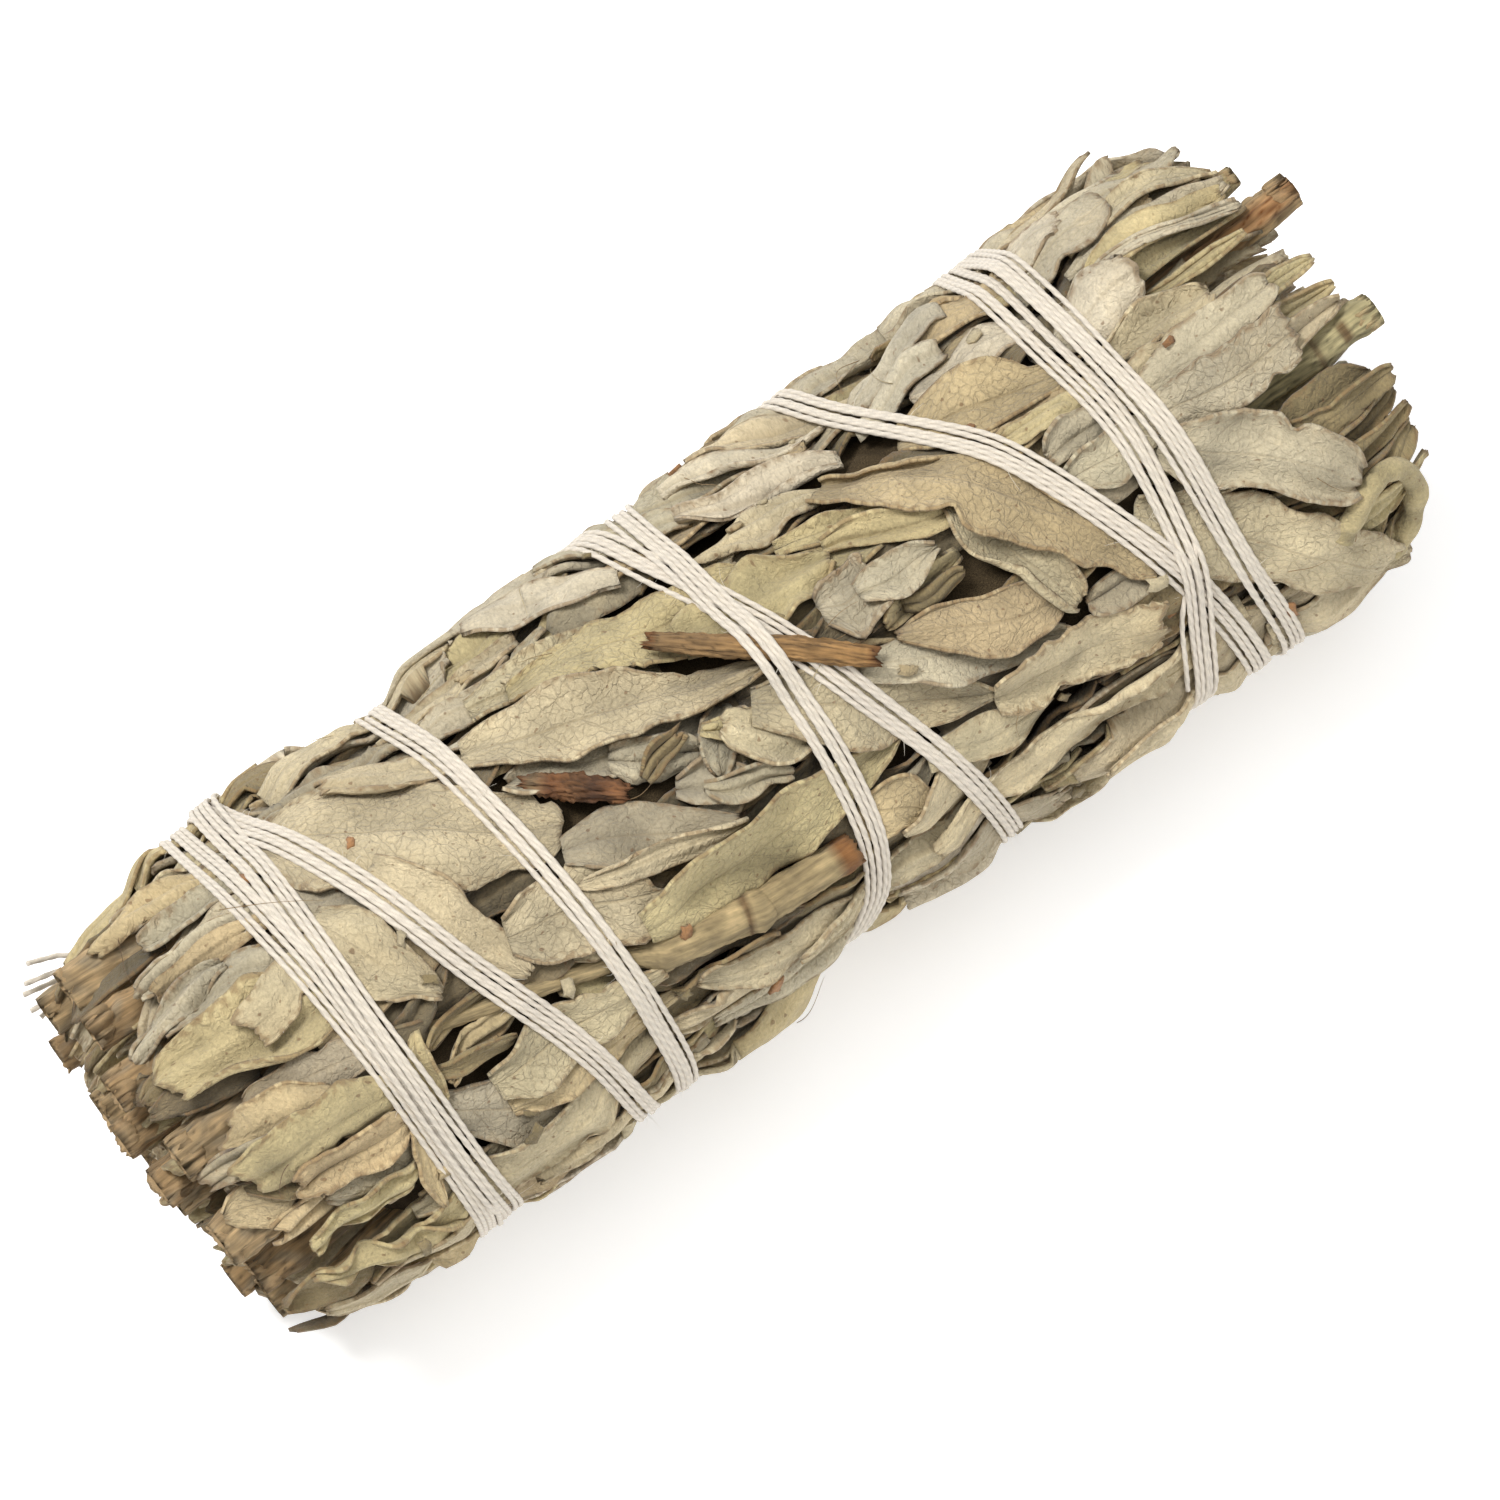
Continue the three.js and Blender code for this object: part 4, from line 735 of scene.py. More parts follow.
def lay_leaf(root, tip, width, bow, tip_share, look, columns=LEAF_COLUMNS, row=LEAF_ROW, settle=0.2,
             stack=0.8):
    """Shapes one leaf over the bed, keeps it for its sprig and raises the bed by it."""
    run, rise = tip[0] - root[0], (tip[1] - root[1]) * ARC_RADIUS
    length = math.hypot(run, rise)
    rows = int(np.clip(round(length / row), 8, 80))
    t, w = np.meshgrid(np.linspace(0, 1, rows + 1), columns, indexing="ij")
    crumple = smooth_waves(leaf_draw, 7, 2.5, 7.0)
    ripple = smooth_waves(leaf_draw, 4, 3.0, 8.0)
    rim = smooth_waves(leaf_draw, 5, 1.2, 4.0)
    torn = "j" in look
    half = leaf_half(t, w, length, width, tip_share, torn, ripple, rim)
    aside, lift = roll_edges(t, w, half, length, look)
    sway = 0.35 * leaf_draw.uniform(-1, 1) * np.sin(math.pi * 2 * t + leaf_draw.uniform(0, 6))
    aside = aside + bow * 4 * t * (1 - t) + sway
    forward = t + leaf_jag(t, w, torn, rim) / length
    along = root[0] + run * forward - rise / length * aside
    arc = root[1] * ARC_RADIUS + rise * forward + run / length * aside
    stiff = 2 + int(round(1.3 / row)) ** 2 * 2
    ground = soften(cover(read_bed(bed, along, arc)), stiff, 8)
    lift = crumple_leaf(lift, t, w, half, length, width, look, crumple, ripple)
    lengths = np.stack([t * length, w * width / 2], axis=-1)
    near_tip = np.clip(1 - (1 - t) * length / 0.6, 0, 1)
    leaf_sheets.append({
        "along": along, "arc": arc, "ground": ground + settle, "lift": lift,
        "colour": tint_leaf(t, w, half, length, look[0], crumple),
        "map": lengths * 0.1 + leaf_draw.uniform(0, 60),
        "edge": (1.6 if torn else 1.0) * np.maximum(np.abs(w) ** 6, near_tip),
        "rib": lengths,
        "veins": 1.0 if "v" in look else leaf_draw.uniform(0.3, 0.75),
        "turn": (root[1] + tip[1]) / 2,
    })
    flat = np.minimum(ground + settle + lift, ground + settle + stack)
    raise_bed(*[between_points(grid) for grid in (along, arc, flat + LEAF_SHEET)])


def seeded_draws(seed):
    """Even draws from 0 to 1, in the same order as in the part's source."""
    state = [seed]

    def draw():
        state[0] = (state[0] + 0x6D2B79F5) & 0xFFFFFFFF
        s = state[0]
        mixed = ((s ^ (s >> 15)) * (s | 1)) & 0xFFFFFFFF
        mixed ^= (mixed + (mixed ^ (mixed >> 7)) * (mixed | 61)) & 0xFFFFFFFF
        return ((mixed ^ (mixed >> 14)) & 0xFFFFFFFF) / 4294967296

    return draw


# Filling: small leaves deep in the bunch, everywhere but in the open gaps of the seen face. Most take the
# near-black and dark tones, as painted shade for the crevices between the outer leaves.
FILL_COUNT = 380
SHORTEST_FILL = 5
fill_draw = np.random.default_rng(5)
gap_places = [(on_face(along, across), length, breadth) for along, across, length, breadth in GAPS]


def arc_apart(arc, other):
    """Shortest way round the unrolled bunch from one place to another."""
    half_round = math.pi * ARC_RADIUS
    return (arc - other + half_round) % (2 * half_round) - half_round


def in_gap(along, arc):
    """Whether a place lies in one of the deep gaps."""
    for (gap_along, gap_turn), length, breadth in gap_places:
        aside = arc_apart(arc, gap_turn * ARC_RADIUS)
        if ((along - gap_along) / (0.5 * length + 1)) ** 2 + (aside / (0.5 * breadth + 1)) ** 2 < 1:
            return True
    return False


for _ in range(FILL_COUNT):
    start = fill_draw.uniform(-2, 96)
    turn = fill_draw.uniform(0, FULL_TURN)
    reach = fill_draw.uniform(8, 16) * fill_draw.choice([-1, 1])
    swing = fill_draw.uniform(-4, 4)
    end = float(np.clip(start + reach, -3, 104))
    breadth = fill_draw.uniform(3, 6)
    # Mostly the near-black "d" and dark "o" tones: painted shade in the crevices.
    tone = fill_draw.choice(list("dddoomty"))
    shares = (0, 0.25, 0.5, 0.75, 1)
    spots = [(start + (end - start) * share, turn * ARC_RADIUS + swing * share) for share in shares]
    if any(in_gap(*spot) for spot in spots) or abs(end - start) < SHORTEST_FILL:
        continue
    tip_share = fill_draw.uniform(0.2, 0.8)
    look = tone + fill_draw.choice(["", "u", "~", "+"])
    lay_leaf((start, turn), (end, turn + swing / ARC_RADIUS), breadth, 0, tip_share, look,
             columns=LEAF_COLUMNS[::2], row=0.9, settle=0.0, stack=0.3)

# The outer stems stand among the filling, so the leaves over them are held up.
for _, angle, reach, width, cut_end, hidden_end, _ in STEMS:
    for share in np.linspace(0, 1, 90):
        top = stem_depth(reach, share) + 0.52 * width - LEAF_BASE
        arc = (FACE_LEAN + math.radians(angle)) * ARC_RADIUS + np.linspace(-0.5, 0.5, 12) * width
        raise_bed(np.full(12, cut_end + (hidden_end - cut_end) * share), arc, max(0.0, top))

# Ribbons: narrow curled leaves that lie lengthwise all round, closest at the two sides of the face.
RIBBON_COUNT = 170
for k in range(RIBBON_COUNT):
    side = fill_draw.choice([-1, 1]) * fill_draw.uniform(58, 112)
    turn = FACE_LEAN + math.radians(side if k % 4 else fill_draw.uniform(0, 360))
    start = fill_draw.uniform(-1, 88)
    end = float(np.clip(start + fill_draw.uniform(10, 20), 0, 105))
    swing = fill_draw.uniform(-1.6, 1.6) / ARC_RADIUS
    ends = [(start, turn), (end, turn + swing)]
    if fill_draw.uniform() < 0.5:
        ends.reverse()
    if any(in_gap(along, angle * ARC_RADIUS) for along, angle in ends):
        continue
    look = str(fill_draw.choice(["gu", "yu", "p+", "g-", "tu", "wu", "ou", "p~", "m~"]))
    width, bow = fill_draw.uniform(1.8, 3.4), fill_draw.uniform(-0.8, 0.8)
    lay_leaf(*ends, width, bow, fill_draw.uniform(0.3, 0.7), look,
             columns=LEAF_COLUMNS[::2], row=0.6, settle=0.05, stack=0.5)

# Hidden face: rows of long leaves that overlap lengthwise and sideways. They are drawn as in the part's
# source, where each leaf also draws a wave and its phase.
HIDDEN_ROWS = 10
HIDDEN_STEPS = 6
HIDDEN_LOOKS = ["p", "gv", "pv", "t-", "w", "y~", "g+", "pu", "tv", "p-", "g~", "yv", "wn", "pj"]
EDGE_LOOKS = ["ps", "gsv", "ps-", "ws", "ys", "gs+"]
draw = seeded_draws(20)


def between(low, high):
    return low + (high - low) * draw()


for step in range(HIDDEN_STEPS):
    for line in range(HIDDEN_ROWS):
        degrees = 80 + 200 * line / (HIDDEN_ROWS - 1) + between(-6, 6)
        turn = FACE_LEAN + math.radians(degrees)
        start = 9 + 15 * step + 7.5 * (line % 2) + between(-3, 3)
        backwards = step == 0 and line % 2 == 0
        reach = -between(11, 14) if backwards else min(between(16, 24), 104 - start)
        tip = (max(start + reach, -0.5), turn + between(-0.22, 0.22))
        width, bow, tip_share = between(5, 8.5), between(-1, 1), between(0.15, 0.6)
        for _ in ("wave", "phase"):
            draw()
        at_edge = line in (0, 1, HIDDEN_ROWS - 2, HIDDEN_ROWS - 1)
        look = str(leaf_draw.choice(EDGE_LOOKS if at_edge else HIDDEN_LOOKS))
        lay_leaf((start, turn), tip, width * (0.7 if at_edge else 1.0), bow, tip_share, look)

# Seen face: its own leaves, one by one, which lie pressed smooth at the two sides of the face.
SMOOTH_SIDE = 14
for root_along, root_across, tip_along, tip_across, width, bow, tip_share, look in FACE_LEAVES:
    root, tip = on_face(root_along, root_across), on_face(tip_along, tip_across)
    lay_leaf(root, tip, width, bow, tip_share, look + ("s" if abs(root_across) > SMOOTH_SIDE else ""))

# Leaves along the underside, on which the bunch lies: where each starts and ends.
KEEL_LEAVES = [(28.3, 33.2), (46.5, 60), (75.5, 83.5)]
for start, end in KEEL_LEAVES:
    lay_leaf((start, math.pi), (end, math.pi), 6.5, 0, 0.7, "p")

# Pressed together, no leaf rises through one that lies over it, and the pile is no thicker than the bunch.
# Leaves are trimmed at the upper side of the bunch and stand freer at the tips.
PILE_LIMIT = 9.0
PROUD = 5.0
PROUD_MOST = 1.3
TOP_TRIM = 0.8
TIP_FREEDOM = 1.3
LIFT_LEFT = 0.85
PRESSED_GAP = 0.12
NO_LIMIT = 99.0
ceiling = np.full_like(bed, NO_LIMIT)
for sheet in reversed(leaf_sheets):
    pressed = PILE_LIMIT * np.tanh(sheet["ground"] / PILE_LIMIT)
    over = ceiling[bed_cells(sheet["along"], sheet["arc"])]
    free = pressed + LIFT_LEFT * sheet["lift"]
    upper_side = np.maximum(0, -np.sin(sheet["arc"] / ARC_RADIUS - FACE_LEAN))
    proud = PROUD - TOP_TRIM * upper_side**2 + TIP_FREEDOM * np.clip((sheet["along"] - 93) / 7, 0, 1)
    eased = proud + PROUD_MOST * np.tanh((free - proud) / PROUD_MOST)
    sheet["height"] = np.minimum(np.where(free > proud, eased, free), over - PRESSED_GAP)
    along, arc, height = [between_points(sheet[key]) for key in ("along", "arc", "height")]
    for step_along, step_arc, slack in ((0, 0, 0.0), (1, 0, 0.3), (-1, 0, 0.3), (0, 1, 0.3), (0, -1, 0.3)):
        cells = bed_cells(along + step_along * BED_CELL, arc + step_arc * ARC_CELL)
        np.minimum.at(ceiling, cells, height + slack)
bed = base_bed.copy()
for sheet in leaf_sheets:
    along, arc, height = [between_points(sheet[key]) for key in ("along", "arc", "height")]
    raise_bed(along, arc, height + LEAF_SHEET / 2)

# Two loose pieces caught in the leaves, whose places the leaves and the thread give way to: a peeled pale
# stem that broke off among them, and an orange-brown twig. Each spot has its thickness.
BROKEN_STEM = [
    (17, 5.2, 1.1), (25, 7.6, 1.3), (33, 10.2, 1.5), (35, 11.2, 2.8), (41.6, 12.4, 3), (42.5, 12.6, 3.4),
    (43.4, 12.8, 2.9), (51.1, 13.3, 2.7),
]
BROKEN_BED = 15.9
LOOSE_TWIG = [(48.3, -9.8, 1.4), (52, -6.6, 1.8), (56.5, -3.2, 1.8), (60.7, 0.5, 1.6)]
TWIG_BED = 18.1
caught_pieces = [(BROKEN_STEM, BROKEN_BED), (LOOSE_TWIG, TWIG_BED)]
held_down = np.full_like(bed, NO_LIMIT)


def path_between(spots):
    """Close steps along a row of seen spots: places along, angles round and thicknesses."""
    path = np.array([(*on_face(along, across), thick) for along, across, thick in spots])
    steps = np.linspace(0, len(path) - 1, 400)
    return [np.interp(steps, np.arange(len(path)), path[:, k]) for k in range(3)]


for spots, resting in caught_pieces:
    along, turn, thick = path_between(spots)
    for spread in np.linspace(-0.6, 0.6, 7):
        low = resting - LEAF_BASE + thick * (0.25 + 0.6 * abs(spread))
        np.minimum.at(held_down, bed_cells(along, turn * ARC_RADIUS + spread * thick), low)

# Thread route, shared by the leaves it presses and by its strands: one row for each turn, with the seen
# place along the bunch at five places across the face. It winds to the tips and comes back to the knot.
THREAD_TURNS = [
    (11.0, 11.9, 12.9, 13.0, 12.9),
    (13.8, 17.2, 22, 26.2, 28),
    (46.8, 52.2, 57.8, 61.2, 61.8),
    (66.5, 73.4, 81, 84.4, 84.2),
    (85, 87.6, 89.4, 88.2, 87),
    (82.9, 85.4, 87, 83.8, 77.5),
    (52.3, 53.2, 54.6, 52.8, 47),
    (28.3, 30.2, 31.7, 31.8, 30.3),
    (14.3, 14.3, 14.1, 14.2, 14.8),
]
KNOT_TURN = math.radians(-128)
FACE_PLACES = (-90, -45, 0, 45, 90)
KNOT_ALONG = 13.4
KNOT_SIDE = 1.4
BAND_HALF = 1.05
ROUTE_STEP = 0.16
ROUTE_RADIUS = 18.8
stops = [(FACE_LEAN + KNOT_TURN, KNOT_ALONG - KNOT_SIDE)]
for index, seen_row in enumerate(THREAD_TURNS):
    for degrees, seen in zip(FACE_PLACES, seen_row):
        across = FACE_RADIUS * math.sin(math.radians(degrees)) + SEEN_SHIFT - SEEN_TAPER * seen
        stops.append((FACE_LEAN + math.radians(degrees) + index * FULL_TURN, on_face(seen, across)[0]))
last_turn = FACE_LEAN + KNOT_TURN + len(THREAD_TURNS) * FULL_TURN
stops.append((last_turn, KNOT_ALONG + KNOT_SIDE))
stop_turn, stop_along = np.array(stops).T


def thread_along(turn):
    """Smooth route through the stops, with the slope of each stop's neighbours."""
    before = np.maximum(0, np.arange(len(stop_turn)) - 1)
    after = np.minimum(len(stop_turn) - 1, np.arange(len(stop_turn)) + 1)
    slope = (stop_along[after] - stop_along[before]) / (stop_turn[after] - stop_turn[before])
    left = np.clip(np.searchsorted(stop_turn, turn, side="left") - 1, 0, len(stop_turn) - 2)
    gap = stop_turn[left + 1] - stop_turn[left]
    t = (turn - stop_turn[left]) / gap
    s = 1 - t
    ends = stop_along[left] * s * s * (1 + 2 * t) + stop_along[left + 1] * t * t * (1 + 2 * s)
    return ends + gap * t * s * (slope[left] * s - slope[left + 1] * t)


route_steps = int((last_turn - stop_turn[0]) * ROUTE_RADIUS / ROUTE_STEP)
route_turn = np.linspace(stop_turn[0], last_turn, route_steps)
route_along = thread_along(route_turn)
route_arc = route_turn * ARC_RADIUS


def blurred(values, sigma):
    """Row of values, smoothed over a number of steps."""
    reach = int(3 * sigma)
    kernel = np.exp(-0.5 * (np.arange(-reach, reach + 1) / sigma) ** 2)
    padded = np.pad(values, reach, mode="edge")
    return np.convolve(padded, kernel / kernel.sum(), mode="valid")


# The thread bears on the leaves and the loose pieces, and spans the hollows between them.
bed = np.minimum(bed, held_down)
for spots, resting in caught_pieces:
    along, turn, thick = path_between(spots)
    for spread in np.linspace(-0.45, 0.45, 7):
        raise_bed(along, turn * ARC_RADIUS + spread * thick, resting - LEAF_BASE + thick * (1 - spread**2))
footprint = np.stack([read_bed(bed, route_along + aside, route_arc) for aside in np.linspace(-1, 1, 7)])
held = LEAF_BASE + 0.6 * footprint.max(axis=0) + 0.4 * footprint.mean(axis=0)
route_radius = blurred(held, 9) - 0.25
for _ in range(12):
    for reach in (12, 25, 45):
        a, b = route_radius[:-2 * reach], route_radius[2 * reach:]
        half_turn = (route_turn[2 * reach:] - route_turn[:-2 * reach]) / 2
        taut = 2 * a * b * np.cos(half_turn) / (a + b)
        route_radius[reach:-reach] = np.maximum(route_radius[reach:-reach], taut)
route_radius = blurred(route_radius, 6)

# The cinch: how much of its height each spot of the skin keeps under and beside the thread.
CINCH_CELLS = 14
CINCH_STEEPNESS = 0.55
allowed = held_down.copy()
under_thread = np.full_like(bed, NO_LIMIT)
for turn, along, radius in zip(route_turn[::2], route_along[::2], route_radius[::2]):
    row = int(round((along - BED_START) / BED_CELL))
    column = int(round(turn * ARC_RADIUS / ARC_CELL))
    rows = np.arange(max(0, row - CINCH_CELLS), min(BED_ROWS, row + CINCH_CELLS + 1))
    beside = np.arange(-CINCH_CELLS, CINCH_CELLS + 1)
    away = np.hypot(*np.meshgrid(rows * BED_CELL + BED_START - along, beside * ARC_CELL, indexing="ij"))
    rise = CINCH_STEEPNESS * np.maximum(0, away - BAND_HALF) ** 1.2
    limit = radius - LEAF_BASE - PRESSED_GAP + rise
    spot = np.ix_(rows, (column + beside) % BED_COLUMNS)
    allowed[spot] = np.minimum(allowed[spot], limit)
    under_thread[spot] = np.minimum(under_thread[spot], limit)
cinch = np.clip(allowed / np.maximum(bed, 0.3), 0.15, 1)
for axis in (0, 1, 0, 1):
    cinch = (np.roll(cinch, 1, axis) + 2 * cinch + np.roll(cinch, -1, axis)) / 4


def make_leaf_material():
    """Felted dry leaf: its own tint with mottling and specks, a net of fine veins and a brown rim."""
    material, tree, shader = new_material("sage_leaf", 0.92, 0.12)
    surface = surface_map(tree)
    tint = attribute(tree, "tint", "Color")
    edge = attribute(tree, "edge")
    lengthwise = attribute(tree, "lengthwise")
    sideways = attribute(tree, "sideways")
    veined = attribute(tree, "veined")
    wobble = noise(tree, surface, 13.0, 3.0)
    bent = add_node(
        tree, "ShaderNodeVectorMath", {"operation": "MULTIPLY_ADD"},
        {0: wobble.outputs["Color"], 1: (0.09, 0.09, 0.0), 2: surface},
    )
    net = add_node(
        tree, "ShaderNodeTexVoronoi", {"feature": "DISTANCE_TO_EDGE", "voronoi_dimensions": "2D"},
        {"Vector": bent.outputs[0], "Scale": 12.5},
    )
    net_line = remap(tree, net.outputs["Distance"], 0.0, 0.1, 1.0, 0.0)
    away = math_node(tree, "ABSOLUTE", sideways)
    swerve = math_node(tree, "MULTIPLY_ADD", wobble.outputs["Fac"], 1.1, lengthwise)
    slanted = math_node(tree, "MULTIPLY_ADD", away, -1.1, swerve)
    branch = math_node(tree, "PINGPONG", slanted, 1.7)
    branch_line = remap(tree, branch, 0.02, 0.12, 0.75, 0.0)
    rib_line = remap(tree, away, 0.05, 0.17, 0.9, 0.0)
    lines = math_node(tree, "MAXIMUM", math_node(tree, "MULTIPLY", net_line, 0.62), branch_line)
    lines = math_node(tree, "MAXIMUM", lines, rib_line)
    lines = math_node(tree, "MULTIPLY", lines, veined)
    clouds = noise(tree, surface, 3.2, 5.0, 0.6)
    felt = noise(tree, surface, 34.0, 5.0, 0.75)
    crinkle = noise(tree, bent.outputs[0], 7.5, 3.0, 0.55)
    crease = math_node(tree, "ABSOLUTE", math_node(tree, "SUBTRACT", crinkle.outputs["Fac"], 0.5))
    specks = noise(tree, surface, 17.0, 1.0, 0.4)
    shade = remap(tree, clouds.outputs["Fac"], 0.25, 0.75, 0.72, 1.2)
    colour = mix_colour(tree, "MULTIPLY", 1.0, tint, shade)
    warm = remap(tree, clouds.outputs["Fac"], 0.56, 0.74, 0.0, 0.28)
    colour = mix_colour(tree, "MIX", warm, colour, (0.46, 0.35, 0.18, 1.0))
    grain = remap(tree, felt.outputs["Fac"], 0.3, 0.7, 0.76, 1.18)
    colour = mix_colour(tree, "MULTIPLY", 1.0, colour, grain)
    vein_share = math_node(tree, "MULTIPLY", lines, 0.35)
    colour = mix_colour(tree, "MIX", vein_share, colour, (0.24, 0.17, 0.08, 1.0))
    speck_share = remap(tree, specks.outputs["Fac"], 0.69, 0.76, 0.0, 0.65)
    colour = mix_colour(tree, "MIX", speck_share, colour, (0.16, 0.08, 0.03, 1.0))
    frayed = math_node(tree, "MULTIPLY", edge, remap(tree, specks.outputs["Fac"], 0.35, 0.62))
    rim_share = remap(tree, frayed, 0.1, 0.7, 0.0, 0.6)
    colour = mix_colour(tree, "MIX", rim_share, colour, (0.22, 0.13, 0.055, 1.0))
    relief = math_node(tree, "MULTIPLY", lines, -0.5)
    relief = math_node(tree, "MULTIPLY_ADD", felt.outputs["Fac"], 1.0, relief)
    relief = math_node(tree, "MULTIPLY_ADD", clouds.outputs["Fac"], 1.2, relief)
    relief = math_node(tree, "MULTIPLY_ADD", crease, -3.4, relief)
    pebble = math_node(tree, "MULTIPLY", net.outputs["Distance"], veined)
    relief = math_node(tree, "MULTIPLY_ADD", pebble, 0.4, relief)
    finish_surface(tree, shader, colour, relief, 0.9, 0.00024)
    return material


leaf_material = make_leaf_material()
LOWEST_LEAF, LOWEST_BIT = 0.16, 0.2
sprig_parts = [[] for _ in range(SPRIG_COUNT)]


def add_sheet(turn, points, colour, flat_map, edge, rib, veins, lowest=LOWEST_BIT):
    """Keeps a leaf, or a bit of one, clear of the table for the sprig at its angle round the bunch."""
    points[..., 2] = np.maximum(points[..., 2], lowest)
    sprig = int((turn % FULL_TURN) / (FULL_TURN / SPRIG_COUNT)) % SPRIG_COUNT
    sprig_parts[sprig].append((points, colour, flat_map, edge, rib, veins))


# Each leaf is pressed in by the thread. Its tint takes painted shade the deeper it lies below the leaves
# around it, and a little painted highlight where it stands proud of them.
level = soften(bed, 36, 36)
for sheet in leaf_sheets:
    turn = sheet["arc"] / ARC_RADIUS
    kept = read_bed(cinch, sheet["along"], sheet["arc"])
    trimmed = np.minimum(sheet["height"] * kept, read_bed(under_thread, sheet["along"], sheet["arc"]))
    radius = LEAF_BASE + trimmed
    depth = read_bed(level, sheet["along"], sheet["arc"]) - sheet["height"]
    # Painted shade of up to half the tint in deep spots, and a slight painted highlight on proud spots.
    painted_shade_and_highlight = 1 - 0.5 * np.clip(depth / 2.0, 0, 1) + 0.07 * np.clip(-depth / 1.2, 0, 1)
    points = place(sheet["along"], turn, radius)
    add_sheet(sheet["turn"], points, sheet["colour"] * painted_shade_and_highlight[..., None], sheet["map"], sheet["edge"],
              sheet["rib"], sheet["veins"], LOWEST_LEAF)

# Inner leaves whose ends show at the butt and among the tips, standing on edge in curls. For each end:
# their roots, the least and the most that their tips reach, and how far they lie from the axis.
END_COUNT = 120
LEAF_ENDS = [(12, -4.5, 1.5, 14.6), (84, 98.0, 107.0, 16.6)]
SPREAD_TURN = 2.39996
end_draw = np.random.default_rng(12)
for base, low, high, widest in LEAF_ENDS:
    for k in range(END_COUNT):
        reach = widest * math.sqrt((k + 0.5) / END_COUNT)
        turn = SPREAD_TURN * k + end_draw.uniform(-0.3, 0.3)
        tip = end_draw.uniform(low, high)
        width, curl = end_draw.uniform(3, 6.5), end_draw.uniform(0.4, 3.4)
        facing = turn + math.pi / 2 + end_draw.uniform(-0.9, 0.9)
        t, w = np.meshgrid(np.linspace(0, 1, 16), np.linspace(-1, 1, 11), indexing="ij")
        waves = smooth_waves(end_draw, 5, 2.0, 6.0)
        breadth = width / 2 * (1 - 0.4 * t**2) * (1 + 0.05 * waves(9 * t, 3 * np.sign(w)))
        bend = curl * (0.6 + 0.4 * t)
        flat = breadth / bend * np.sin(bend * w)
        hollow = breadth / bend * (1 - np.cos(bend * w)) + 0.12 * waves(10 * t, 3 * w)
        along = base + (tip - base) * t + 0.5 * waves(3 * w, 20 + 0 * w) * t**4
        lean = reach * (0.8 + 0.2 * t) + end_draw.uniform(-1.5, 0.8) * t**2 - end_taper(along) * reach / 16
        y = -lean * math.sin(turn) + flat * math.cos(facing) - hollow * math.sin(facing)
        z = lean * math.cos(turn) + flat * math.sin(facing) + hollow * math.cos(facing)
        points = np.stack([along - MIDDLE, y + SIDE_SHIFT, z + AXIS_HEIGHT], axis=-1)
        tone = np.array(LEAF_TONES[end_draw.choice(list("ppgytoom"))]) * end_draw.uniform(0.75, 1.1)
        colour = np.broadcast_to(tone, points.shape) * (1 + 0.1 * waves(4 * t, w))[..., None]
        lengths = np.stack([(tip - base) * t, w * width / 2], axis=-1)
        edge = np.maximum(np.abs(w) ** 6, np.clip((t - 0.9) / 0.1, 0, 1))
        add_sheet(turn, points, colour, lengths * 0.1 + end_draw.uniform(0, 60), edge, lengths, 0.4)

# Crumbs of broken leaf and bark that lie caught all over.
CRUMB_COUNT = 70
crumb_draw = np.random.default_rng(17)
pressed_bed = np.minimum(bed * cinch, allowed)


def skin_radius(along, turn):
    """Radius of the tied leaves at a place along the bunch and an angle round it."""
    return LEAF_BASE + read_bed(pressed_bed, np.asarray(along), np.asarray(turn) * ARC_RADIUS)


for _ in range(CRUMB_COUNT):
    middle, turn = crumb_draw.uniform(4, 96), crumb_draw.uniform(0, FULL_TURN)
    heading, size = crumb_draw.uniform(0, FULL_TURN), crumb_draw.uniform(0.3, 0.8)
    t, w = np.meshgrid([-1.0, 0.0, 1.0], [-0.6, 0.0, 0.6], indexing="ij")
    t = size * (t + crumb_draw.uniform(-0.4, 0.4, t.shape))
    w = size * (w + crumb_draw.uniform(-0.3, 0.3, w.shape))
    along = middle + t * math.cos(heading) - w * math.sin(heading)
    around = turn + (t * math.sin(heading) + w * math.cos(heading)) / ARC_RADIUS
    tilt = crumb_draw.uniform(-0.3, 0.3, 2)
    points = place(along, around, skin_radius(along, around).max() + tilt[0] * t + tilt[1] * w)
    tone = np.array(LEAF_TONES[crumb_draw.choice(list("toprr"))]) * crumb_draw.uniform(0.8, 1.1)
    lengths = np.stack([t, w], axis=-1)
    colour = np.broadcast_to(tone, points.shape)
    add_sheet(turn, points, colour, lengths * 0.1 + middle, 0 * t, lengths + 5, 0.0)

# One leaf beside the tips has rolled up lengthwise and dried as a hoop.
HOOP = [
    (94.5, 14.2), (96.7, 12.7), (99.2, 11), (101.6, 11),
    (102.6, 13.1), (101.4, 15.3), (98.6, 16.7), (96, 17.4),
]
HOOP_ROLL = 0.75
HOOP_CLOSURE = 2.3


def seen_curve(spots, count, softness):
    """Steps of a soft curve through seen spots, with its places along and its angles round."""
    places = np.array([on_face(*spot) for spot in spots])
    steps = np.linspace(0, len(spots) - 1, count)
    curve = [blurred(np.interp(steps, np.arange(len(spots)), places[:, k]), softness) for k in (0, 1)]
    return steps, *curve


def outward(turn):
    """Direction away from the axis at an angle round the bunch."""
    return np.stack([0 * turn, -np.sin(turn), np.cos(turn)], axis=-1)


def path_frame(centre, out):
    """Directions ahead, aside and up at each point of a path."""
    ahead = np.gradient(centre, axis=0)
    ahead /= np.linalg.norm(ahead, axis=1)[:, None]
    aside = np.cross(ahead, out)
    aside /= np.linalg.norm(aside, axis=1)[:, None]
    return ahead, aside, np.cross(aside, ahead)


def rings_round(centre, aside, up, wide, high):
    """Points round each point of a path, at their distances aside and up."""
    return centre[:, None] + aside[:, None] * wide[..., None] + up[:, None] * high[..., None]


